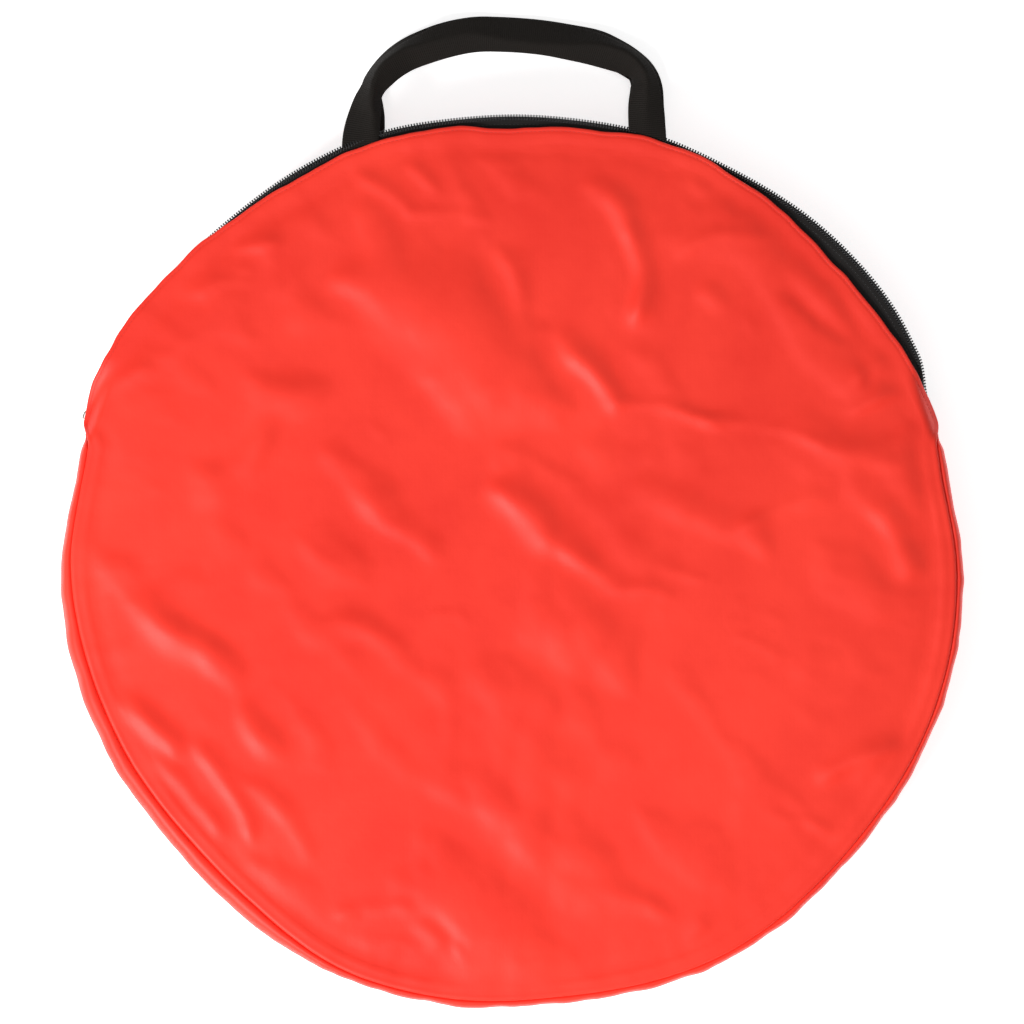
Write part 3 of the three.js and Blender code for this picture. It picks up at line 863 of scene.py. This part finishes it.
front_cloth()
gusset_cloth()
back_cloth()
seam_binding("front", lambda deg: edge_radius(deg) - seam_in(deg) - 3.6 * MM, RIM_Z - 6.6 * MM)
seam_binding("back", lambda deg: np.full_like(deg, PANEL_R - 4.6 * MM), 3.6 * MM)

# ---------------------------------------------------------------- zip

COIL_PITCH = 1.95 * MM
WIRE_R = 0.38 * MM
COIL_HALF_LENGTH = 1.7 * MM  # how far a turn reaches each side of the coil's own line
COIL_HALF_HEIGHT = 0.7 * MM
TAPE_WIDTH = 14 * MM


def zip_line(front, deg):
    """Radius and height of a coil's line."""
    opened = mouth_open(deg)
    a = np.radians(deg)
    r_open = PANEL_R + coil_out(deg) * MM - COIL_HALF_LENGTH - WIRE_R
    r_shut = SLIDER_R + 2.5 * MM
    r = r_shut + (r_open - r_shut) * opened + 0.5 * MM * opened * edge_noise(a, 2.6, 0.045)
    to_end = np.minimum(deg - ZIP_END, 180 - ZIP_END - deg)
    r = r - 2 * MM * (1 - smooth(to_end, 0.4, 1.8))  # the ends turn in behind the gusset's corners
    apart = 1.1 * MM  # half the distance between the two coils at the closed ends
    z_open = FRONT_COIL_Z + 0.4 * MM if front else BACK_COIL_Z
    z_shut = MID_Z + (apart if front else -apart)
    return r, z_shut + (z_open - z_shut) * opened


def coil_path(line, inward, face):
    """A flattened coil: each turn stands square to the zip, and steps on to the next along its inner side."""
    length = np.sum(np.linalg.norm(np.diff(line, axis=0), axis=1))
    turns = int(length / COIL_PITCH)
    per_turn = 12
    phase = np.arange(turns * per_turn + 1) * 2 * np.pi / per_turn
    turn, part = np.divmod(phase + 1e-9, 2 * np.pi)
    step = smooth(part, np.pi * 0.55, np.pi * 1.45)
    s = (turn + step) / (turns + 1)
    pick = np.linspace(0, 1, len(line))
    centre = resample(s, pick, line)
    inw, fac = unit(resample(s, pick, inward)), unit(resample(s, pick, face))
    out = np.cos(phase)[:, None] * COIL_HALF_LENGTH
    squared = np.sign(np.sin(phase)) * np.abs(np.sin(phase)) ** 0.7
    path = centre - inw * out + fac * squared[:, None] * COIL_HALF_HEIGHT
    return path, unit(np.cross(inw, fac)), phase


def zip_half(front):
    """One side of the zip: its tape, its coil and the two rows of stitches that hold them."""
    side = "front" if front else "back"
    sign = 1 if front else -1
    deg = np.linspace(ZIP_END + 0.4, 180 - ZIP_END - 0.4, 520)
    a = np.radians(deg)
    r, z = zip_line(front, deg)
    opened = mouth_open(deg)
    radial = spokes(a)
    # The tape runs in from the coil: level where the mouth is open, upright at the closed ends.
    tilt = (1 - opened) * math.radians(84) * sign
    inward = -radial * np.cos(tilt)[:, None] + UP * np.sin(tilt)[:, None]
    along = unit(np.gradient(radial, axis=0))
    face = unit(np.cross(along, inward)) * -sign
    if np.sum(face[len(face) // 2] * UP) * sign < 0:
        face = -face
    line = radial * r[:, None] + UP * z[:, None]
    start = line - inward * (COIL_HALF_LENGTH * 0.35)
    sag = 0.35 * MM * edge_noise(a, 3.3 + sign, 0.05) * opened
    middle = start + inward * TAPE_WIDTH / 2 + UP * sag[:, None]
    flat = strap_section(TAPE_WIDTH, 0.6 * MM, 2, 8)
    tape = sweep(f"{side}_tape", middle - face * 0.55 * MM, inward, face, flat)
    finish_piece(tape, TAPE, nodes=(f"{side}_zip_tape",))

    path, along_zip, phase = coil_path(line, inward, face)
    tangent = unit(np.gradient(path, axis=0))
    first = unit(along_zip - tangent * np.sum(along_zip * tangent, -1, keepdims=True))
    second = np.cross(tangent, first)
    head = 1.35 + 0.25 * np.clip(np.cos(phase), 0, 1) ** 6  # the wire is stamped wider at a turn's outer end
    wire = round_section(6)[None] * (WIRE_R * np.stack([head, np.full_like(head, 0.9)], -1))[:, None, :]
    coil = sweep(f"{side}_coil", path, first, second, wire)
    finish_piece(coil, COIL, nodes=(f"{side}_zip_teeth",))

    def sewn(name, offset, lift, pitch, length, radius):
        row = stitches(name, line + inward * offset + face * lift, face, pitch, length, radius)
        return finish_piece(row, BLACK_THREAD)

    pieces = [
        tape,
        coil,
        sewn(f"{side}_coil_thread", 0.5 * MM, COIL_HALF_HEIGHT + WIRE_R, COIL_PITCH, 1.45 * MM, 0.25 * MM),
        sewn(f"{side}_tape_thread", 4.6 * MM, -0.28 * MM, 2.6 * MM, 2.1 * MM, 0.17 * MM),
    ]
    for piece in pieces:
        if front:
            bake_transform(piece)
        else:
            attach(piece, "bag")


def zip_end(side, deg):
    """The tab of tape that closes an end of the zip, inside the bag."""
    low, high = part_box(f"{side}_zip_end")
    a = math.radians(deg)
    radial = np.array([math.cos(a), math.sin(a), 0])
    along = np.array([-math.sin(a), math.cos(a), 0])
    z = np.linspace(low.z, high.z, 40)
    r = PANEL_R - 0.9 * MM + 0.15 * MM * np.sin(z / MM * 0.4)
    centres = radial * r[:, None] + UP * z[:, None]
    shape = strap_section(11.2 * MM, 1.1 * MM, 2, 8)
    obj = sweep(f"{side}_zip_tab", centres, np.tile(along, (40, 1)), np.tile(radial, (40, 1)), shape)
    finish_piece(obj, TAPE, "bag", (f"{side}_zip_end",))


def curve_plate(loops, thickness, bevel):
    """A flat plate with rounded edges, from closed outlines of (x, y, rounded) in mm: the first is its edge,
    others are holes. Returned as points and faces about z = 0, in metres."""
    curve = bpy.data.curves.new("outline", "CURVE")
    curve.dimensions = "2D"
    curve.fill_mode = "BOTH"
    curve.extrude = (thickness / 2 - bevel) * MM
    curve.bevel_depth = bevel * MM
    curve.bevel_resolution = 2
    curve.resolution_u = 6
    for loop in loops:
        bezier = curve.splines.new("BEZIER")
        bezier.bezier_points.add(len(loop) - 1)
        bezier.use_cyclic_u = True
        for point, (x, y, rounded) in zip(bezier.bezier_points, loop):
            point.co = (x * MM, y * MM, 0)
            kind = "AUTO" if rounded else "VECTOR"
            point.handle_left_type = kind
            point.handle_right_type = kind
    holder = bpy.data.objects.new("outline", curve)
    bpy.context.scene.collection.objects.link(holder)
    bpy.context.view_layer.update()
    data = bpy.data.meshes.new_from_object(holder.evaluated_get(bpy.context.evaluated_depsgraph_get()))
    points = np.array([v.co[:] for v in data.vertices])
    faces = [tuple(p.vertices) for p in data.polygons]
    bpy.data.objects.remove(holder)
    bpy.data.meshes.remove(data)
    return points, faces


def merged(parts):
    """Several (points, faces) lists as one."""
    points, faces, base = [], [], 0
    for p, f in parts:
        points.append(np.asarray(p))
        faces += [tuple(i + base for i in face) for face in f]
        base += len(p)
    return np.vstack(points), faces


def bar(path, across, section):
    """Points and faces of a short bar swept along a path in the slider's own axes, in mm."""
    path = np.asarray(path, float) * MM
    tangent = unit(np.gradient(path, axis=0))
    side = np.tile(np.asarray(across, float), (len(path), 1))
    ups = unit(np.cross(tangent, side))
    section = np.asarray(section, float) * MM
    pts = path[:, None] + side[:, None] * section[:, :1] + ups[:, None] * section[:, 1:]
    return pts.reshape(-1, 3), tube_faces(len(path), len(section))


SLIDER_ANGLE = 161.3
SLIDER_R = 294 * MM  # the slider's inner face
SLIDER_THICK = 5.0  # this and the rest of the slider are in mm
PLATE = 1.15
PULL_AXIS = 6.5
PLATE_EDGE = (
    (-5.5, -2.6, 1), (-5.2, -3.2, 1), (1.0, -4.35, 1), (4.2, -3.6, 1), (5.5, 0, 1), (4.2, 3.6, 1),
    (1.0, 4.35, 1), (-5.2, 3.2, 1), (-5.5, 2.6, 1),
)
POST_EDGE = ((1.2, -1.1, 1), (4.0, -0.7, 1), (4.0, 0.7, 1), (1.2, 1.1, 1))
PULL_EDGE = (
    (-0.6, -3.2, 1), (0.4, -3.6, 1), (5.4, -3.5, 1), (10.5, -2.5, 1), (18, -3.3, 1), (21.6, -2.6, 1),
    (23, 0, 1), (21.6, 2.6, 1), (18, 3.3, 1), (10.5, 2.5, 1), (5.4, 3.5, 1), (0.4, 3.6, 1), (-0.6, 3.2, 1),
)
PULL_WINDOW = ((0.7, -2, 0), (0.7, 2, 0), (5.2, 2, 0), (5.2, -2, 0))


def slider():
    """The zip's die-cast slider and its pull tab, parked at the left end."""
    a = math.radians(SLIDER_ANGLE)
    out = np.array([math.cos(a), math.sin(a), 0])
    along = np.array([out[1], -out[0], 0])  # the way it closes the zip
    axes = np.stack([along, [0, 0, -1.0], out])
    origin = out * SLIDER_R + np.array([0, 0, MID_Z])

    def placed(name, parts, material, body, node):
        points, faces = merged(parts)
        obj = outward(mesh_object(name, origin + points @ axes, faces))
        obj.data.polygons.foreach_set("use_smooth", np.zeros(len(obj.data.polygons), bool))
        return finish_piece(obj, material, body, (node,))

    plate, plate_faces = curve_plate([PLATE_EDGE], PLATE, 0.32)
    low = plate + np.array([0, 0, PLATE / 2 * MM])
    high = plate + np.array([0, 0, (SLIDER_THICK - PLATE / 2) * MM])
    post, post_faces = curve_plate([POST_EDGE], SLIDER_THICK - 1, 0.1)
    flange = [(-0.35, -0.4), (0.35, -0.4), (0.35, 0.3), (0.2, 0.45), (-0.2, 0.45), (-0.35, 0.3)]
    rails = []
    for edge in (-1, 1):
        for z in (PLATE + 0.25, SLIDER_THICK - PLATE - 0.25):
            path = [(-4.8, edge * 2.9, z), (-2, edge * 3.4, z), (0.8, edge * 3.9, z)]
            rails.append(bar(path, (0, 1, 0), flange))
    arch = []
    for t in np.linspace(0, math.pi, 17):
        lengthwise = -3.5 * math.copysign(abs(math.cos(t)) ** 0.55, math.cos(t))
        arch.append((lengthwise, 0, SLIDER_THICK - 0.5 + 4.1 * math.sin(t) ** 0.6))
    crown = bar(arch, (0, 1, 0), round_section(12) * (0.8, 0.6))
    middle = np.array([0, 0, SLIDER_THICK / 2 * MM])
    parts = [(low, plate_faces), (high, plate_faces), (post + middle, post_faces), *rails, crown]
    placed("slider_body", parts, NICKEL, "zip_slider", "zip_slider")

    grip = tuple((17.6 + 1.6 * math.cos(k), 1.6 * math.sin(k), 1) for k in np.arange(8) * math.pi / 4)
    pull, pull_faces = curve_plate([PULL_EDGE, PULL_WINDOW, grip], 1.2, 0.3)
    lift = np.array([0, 0, PULL_AXIS * MM])
    rib = [(-0.3, -0.1), (0.3, -0.1), (0, 0.2)]
    rib_z = PULL_AXIS + 0.62
    ribs = [bar([(x, -1.7, rib_z), (x, 1.7, rib_z)], (1, 0, 0), rib) for x in (8.4, 9.8, 11.2, 12.6)]
    placed("slider_pull", [(pull + lift, pull_faces), *ribs], NICKEL, "pull_tab", "pull_tab")


zip_half(True)
zip_half(False)
zip_end("right", ZIP_END + 1.4)
zip_end("left", 180 - ZIP_END - 1.4)
slider()

# ---------------------------------------------------------------- handles

WEBBING_WIDTH = 25 * MM

# Middle line of each handle, from its left foot to its right: x, y, z in mm, then the crease that forms where
# the webbing has to bend edgewise: its place across the webbing in mm from the middle (outwards is +), and
# how far the webbing drops each side of it, inwards and outwards, in degrees.
FRONT_ROUTE = (
    (-101, 247, 0, -9, 0, 0), (-101, 266, 0, -9, 2, 1), (-101, 279, 0.4, -8.5, 12, 8),
    (-99.4, 292, 2.0, -7, 40, 22), (-96.0, 309, 5.0, -2.5, 54, 50), (-87.5, 323.5, 6.0, 2.2, 33, 66),
    (-71.5, 334, 5.6, 4.6, 37, 58), (-50, 343.2, 5.2, 2.0, 30, 30), (-28, 349, 5.4, 0.8, 22, 24),
    (-7, 349.6, 5.6, -3.2, 26, 26), (17, 347.6, 5.6, -4.2, 34, 22), (37, 344.4, 5.4, -1.5, 24, 28),
    (56, 339.8, 5.2, 3.0, 24, 40), (72.5, 332.8, 5.4, 5.6, 38, 56), (83.6, 323.5, 5.4, 4.5, 58, 50),
    (87.2, 313, 4.2, 2.0, 44, 36), (88.6, 300, 2.0, 0, 22, 22), (89.6, 287, 0.5, 0, 8, 8),
    (90, 274, 0, 0, 2, 2), (90, 247, 0, 0, 0, 0),
)
BACK_ROUTE = (
    (-101, 247, 0, 0, 0, 0), (-100.5, 266, 0.2, -4, 2, 1), (-98.6, 282, 2.2, -8.5, 12, 6),
    (-97.2, 296, 5.0, -7, 40, 14), (-96, 312.5, 11.2, -2.5, 60, 50), (-88.8, 326.8, 9.8, 2.2, 42, 64),
    (-73.4, 338.6, 9.8, 4.6, 36, 56), (-51, 347.5, 8.2, 2, 32, 30), (-28, 353.2, 7.4, 0.8, 32, 30),
    (-7, 353.6, 7.2, -3.2, 30, 27), (17, 351.6, 7.4, -4.2, 38, 24), (37.4, 348.6, 7.6, -1.5, 36, 28),
    (57, 344.6, 8.4, 3, 32, 38), (73.4, 336.8, 9.6, 5.6, 32, 54), (85.2, 327.2, 11.2, 4.5, 42, 50),
    (89.8, 317, 8.6, 2, 36, 36), (90.2, 303, 4.8, 0, 22, 22), (90.4, 290, 1.8, 0, 8, 8),
    (90, 272, 0.3, 0, 1, 1), (90, 247, 0, 0, 0, 0),
)


def creased_section(crease, inner_drop, outer_drop, width, thick):
    """A strap's section, bent down each side of a rounded crease: points as (across, up)."""
    flat = strap_section(width, thick, 2, 16)
    u, lift = flat[:, 0] - crease, flat[:, 1]
    soften = 0.9 * MM
    bent = np.sqrt(u**2 + soften**2) - soften
    angle = np.where(u > 0, outer_drop, inner_drop)
    ease = u / np.sqrt(u**2 + soften**2)
    slope = angle * np.abs(ease)
    across = crease + np.sign(u) * (np.abs(u) - bent * (1 - np.cos(angle)))
    drop = -bent * np.sin(angle)
    across = across + lift * np.sin(slope) * np.sign(u)
    return np.stack([across, drop + lift * np.cos(slope)], -1)


def handle(front):
    """A webbing loop sewn in at both feet, creased where it turns its corners."""
    side = "front" if front else "back"
    low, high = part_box(f"{side}_handle")
    thick = (high.z - low.z) * 0.95
    samples = spline(FRONT_ROUTE if front else BACK_ROUTE, 420)
    centre = samples[:, :3] * MM
    centre[:, 2] += middle_z(f"{side}_handle_foot_left")
    along = unit(np.gradient(centre, axis=0))
    across = unit(np.cross(UP, along))
    face = unit(np.cross(along, across))
    angles = np.radians(samples[:, 4:6])
    s = np.arange(len(samples))
    flutter = 0.5 * crumple(s * 1.7 * MM, s * 0.0, 4.4 if front else 8.4, 0.022)
    sections = [
        creased_section((c + f) * MM, i, o, WEBBING_WIDTH, thick)
        for c, f, (i, o) in zip(samples[:, 3], flutter, angles)
    ]
    nodes = (f"{side}_handle", f"{side}_handle_foot_left", f"{side}_handle_foot_right")
    flat_section = strap_section(WEBBING_WIDTH, thick, 2, 16)
    obj = sweep(f"{side}_strap", centre, across, face, np.array(sections), width=flat_section[:, 0])
    finish_piece(obj, WEBBING, nodes=nodes)
    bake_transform(obj)


handle(True)
handle(False)

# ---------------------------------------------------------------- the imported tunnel

HEM_LOW, HEM_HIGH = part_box("lower_end_hem")
HEM_OUT_R = HEM_HIGH.x
HEM_HEIGHT = HEM_HIGH.z - HEM_LOW.z
HELIX_LOW, HELIX_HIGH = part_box("helix_wire")
PACK_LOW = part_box("closing_strap_1")[0].z
PACK_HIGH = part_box("closing_strap_1")[1].z
CONTENT_LOW, CONTENT_HIGH = HEM_LOW.z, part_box("upper_end_hem")[1].z
HELIX_TURNS = 11
HELIX_R = 267.5 * MM
PLEATS = 12
PLEAT_R = 167  # mm, the inner tips of the pleats
ROUND = 360
STRAP_WIDTH = 25 * MM
STRAP_IN_R, STRAP_OUT_R = 157.6 * MM, 271.6 * MM
PATCH_WIDTH = 23 * MM


def circle_frame(count=ROUND):
    """Angles round the tunnel, with the outward and upward directions at each."""
    a = np.arange(count) * 2 * np.pi / count
    return a, spokes(a), np.tile(UP, (count, 1))


def tunnel_cloth():
    """The tunnel's tube of cloth, folded in pleats between the turns of its wire, from hem to hem."""
    a, radial, up = circle_frame(480)
    step = (CONTENT_HIGH - CONTENT_LOW - 0.8 * MM) / PLEATS
    per_pleat = 24
    outer = HELIX_R - 1.6 * MM
    rows = []
    for k in range(PLEATS * per_pleat + 1):
        pleat, part = divmod(k / per_pleat, 1)
        fold = 0.5 - 0.5 * math.cos(2 * math.pi * part)
        reach = fold**0.55 if fold > 0 else 0
        tips = crumple(np.cos(a) * 0.2, np.sin(a) * 0.2, 3.7 * pleat + 1, 0.055)
        fine = crumple(np.cos(a) * 0.2, np.sin(a) * 0.2, 5.1 * pleat + 40, 0.018)
        inner = (PLEAT_R + 6.0 * tips + 1.6 * fine) * MM
        r = outer + (inner - outer) * reach
        # Between folds the cloth keeps to its own level, with small ripples across it.
        z = CONTENT_LOW + 0.4 * MM + step * (pleat + 0.5 + (part - 0.5) * (0.82 if fold > 0.02 else 1.0))
        z = z + 0.28 * MM * fine * math.sin(math.pi * part)
        rows.append(radial * r[:, None] + up * z[:, None])
    pts = np.array(rows)
    uv = np.stack(np.meshgrid(np.arange(len(rows)) * 0.008, a * 0.2, indexing="ij"), -1)
    faces = grid_faces(len(rows), len(a), close_columns=True)
    obj = mesh_object("tunnel_cloth", pts.reshape(-1, 3), faces, uv.reshape(-1, 2))
    sheet_thickness(obj, 0.25 * MM, 0)
    finish_piece(obj, TUNNEL_RED, "tunnel_pack", ("tunnel_fabric",))


def helix():
    """The spring wire, and the casing of cloth that it is sewn into."""
    count = HELIX_TURNS * 180
    a = np.linspace(0, 2 * np.pi * HELIX_TURNS, count)
    inset = 1 * MM
    z = np.linspace(HELIX_LOW.z + inset, HELIX_HIGH.z - inset, count)
    radial, up = spokes(a), np.tile(UP, (count, 1))
    line = radial * HELIX_R + up * z[:, None]
    ring = round_section(8)
    wire = sweep("helix_spring", line, radial, up, ring * 0.95 * MM)
    finish_piece(wire, STEEL, "tunnel_pack", ("helix_wire",))
    trim = slice(12, count - 12)
    puffs = 0.12 * MM * np.sin(a * 61) + 0.12 * MM * np.sin(a * 37 + 1)
    puffed = ring[None] * (1.24 * MM + puffs * 0.6)[:, None, None]
    casing = sweep("wire_casing", line[trim], radial[trim], up[trim], puffed[trim])
    finish_piece(casing, TUNNEL_RED, "tunnel_pack")


def tunnel_end(name):
    """An end of the tunnel: the hoop of wire inside a bound hem, with two rows of stitches."""
    z = middle_z(f"{name}_hem")
    a, radial, up = circle_frame()
    hoop_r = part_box(f"{name}_hoop")[1].x - 1.3 * MM
    ring = round_section(8)
    hoop = sweep(f"{name}_wire", radial * hoop_r + up * z, radial, up, ring * 1.3 * MM, closed=True)
    finish_piece(hoop, STEEL, "tunnel_pack", (f"{name}_hoop",))
    # C-shaped binding, open towards the middle of the tunnel
    out, half, thick = HEM_OUT_R, HEM_HEIGHT / 2, 0.7 * MM
    depth = 8.4 * MM
    outer = [(-depth, half), (-depth / 2, half), (-2.2 * MM, half), (-0.8 * MM, half * 0.78), (0, half * 0.3)]
    outer += [(r, -u) for r, u in reversed(outer)]
    inner = []
    for r, u in reversed(outer):
        inner.append((min(r, -thick) if abs(u) < half * 0.5 else r - 0.3 * thick, u * (1 - thick / half)))
    section = np.array(outer + inner)
    gather = 1 + 0.010 * np.sin(a * 97)[:, None] + 0.008 * np.sin(a * 61 + 2)[:, None]
    shape = section[None] * np.stack([np.ones_like(gather), gather], -1)
    hem = sweep(f"{name}_binding", radial * out + up * z, radial, up, shape, closed=True)
    finish_piece(hem, BINDING, "tunnel_pack", (f"{name}_hem",))
    for face in (-1, 1):
        row = radial * (out - depth + 1.6 * MM) + up * (z + face * half)
        line = np.vstack([row, row[:1]])
        label = f"{name}_thread_{'low' if face < 0 else 'high'}"
        sewing = stitches(label, line, np.tile(UP * face, (len(line), 1)), 3.2 * MM, 2.5 * MM, 0.2 * MM)
        finish_piece(sewing, BLACK_THREAD, "tunnel_pack")


def rounded_loop(x0, x1, y0, y1, radius, count=10):
    """Points round a rectangle with rounded corners, anticlockwise, and the outward direction at each."""
    points, outs = [], []
    left, right, low, high = x0 + radius, x1 - radius, y0 + radius, y1 - radius
    for cx, cy, from_deg in ((right, low, -90), (right, high, 0), (left, high, 90), (left, low, 180)):
        for k in range(count):
            t = math.radians(from_deg + 90 * k / (count - 1))
            points.append((cx + radius * math.cos(t), cy + radius * math.sin(t)))
            outs.append((math.cos(t), math.sin(t)))
    return np.array(points), np.array(outs)


def dense_loop(points, outs, spacing):
    """The same closed loop with evenly spaced points."""
    p, o = np.vstack([points, points[:1]]), np.vstack([outs, outs[:1]])
    s = distance_along(p)
    keep = np.concatenate([[True], np.diff(s) > 1e-7])
    s, p, o = s[keep], p[keep], o[keep]
    u = np.linspace(0, s[-1], int(s[-1] / spacing), endpoint=False)
    return resample(u, s, p), unit(resample(u, s, o))


def closing_strap(number, deg):
    """A strap round the pack's section, closed by its hook and loop patch."""
    a = math.radians(deg)
    radial = np.array([math.cos(a), math.sin(a), 0])
    side = np.array([-math.sin(a), math.cos(a), 0])
    half = 0.45 * MM
    low, high = PACK_LOW + half, PACK_HIGH - half
    loop, outs = rounded_loop(STRAP_IN_R + half, STRAP_OUT_R - half, low, high, 2.2 * MM)
    loop, outs = dense_loop(loop, outs, 2 * MM)
    inner_part = smooth(loop[:, 0], 0.158, 0.175) * (1 - smooth(loop[:, 0], 0.25, 0.27))
    dent = 0.5 * MM * inner_part * crumple(loop[:, 0], loop[:, 1] + number, 2.2, 0.03)
    loop = loop - outs * np.abs(dent)[:, None]
    centre = radial * loop[:, :1] + UP * loop[:, 1:]
    face = radial * outs[:, :1] + UP * outs[:, 1:]
    flat = strap_section(STRAP_WIDTH, 0.85 * MM, 2, 10)
    strap = sweep(f"wrap_strap_{number}", centre, np.tile(side, (len(loop), 1)), face, flat, closed=True)
    finish_piece(strap, STRAP, "tunnel_pack", (f"closing_strap_{number}",))
    low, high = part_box(f"strap_patch_{number}")
    z = np.linspace(low.z, high.z, 24)
    r = STRAP_IN_R - 1.0 * MM + 0.1 * MM * np.sin(z / MM)
    centre = radial * r[:, None] + UP * z[:, None]
    corner = 1.5 * MM
    inset = np.minimum(z - low.z, high.z - z)
    narrow = np.where(inset < corner, corner - np.sqrt(np.maximum(0, corner**2 - (corner - inset) ** 2)), 0)
    section = strap_section(PATCH_WIDTH, 1.3 * MM, 2, 10)
    shape = section[None] * np.stack([1 - narrow / (PATCH_WIDTH / 2), np.ones_like(narrow)], -1)[:, None, :]
    patch = sweep(f"wrap_patch_{number}", centre, np.tile(side, (24, 1)), np.tile(-radial, (24, 1)), shape)
    finish_piece(patch, FUZZ, "tunnel_pack", (f"strap_patch_{number}",))


def peg_loop(number, deg):
    """A flat webbing loop for a ground peg, folded in over the pleats."""
    z = middle_z(f"peg_loop_{number}")
    loop, outs = rounded_loop(0.2245, 0.2615, -4.7 * MM, 4.7 * MM, 4.2 * MM, 14)
    loop, outs = dense_loop(loop, outs, 1.2 * MM)
    a = math.radians(deg)
    turn = np.array([[math.cos(a), math.sin(a)], [-math.sin(a), math.cos(a)]])
    plan, out2 = loop @ turn, outs @ turn
    centre = np.hstack([plan, np.full((len(plan), 1), z)])
    across = np.hstack([out2, np.zeros((len(plan), 1))])
    up = np.tile(UP, (len(plan), 1))
    section = strap_section(5 * MM, 0.85 * MM, 2, 6)
    tape = sweep(f"peg_tape_{number}", centre, across, up, section, closed=True)
    finish_piece(tape, STRAP, "tunnel_pack", (f"peg_loop_{number}",))


tunnel_cloth()
helix()
for end in ("lower_end", "upper_end"):
    tunnel_end(end)
for i, strap_deg in enumerate((45, 135, 225, 315), 1):
    closing_strap(i, strap_deg)
for i, loop_deg in enumerate((90, 270, 0, 180), 1):
    peg_loop(i, loop_deg)
for name in ("lower_end_hoop_ferrule", "upper_end_hoop_ferrule"):
    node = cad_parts[name]
    node.data.materials.clear()
    node.data.materials.append(STEEL)
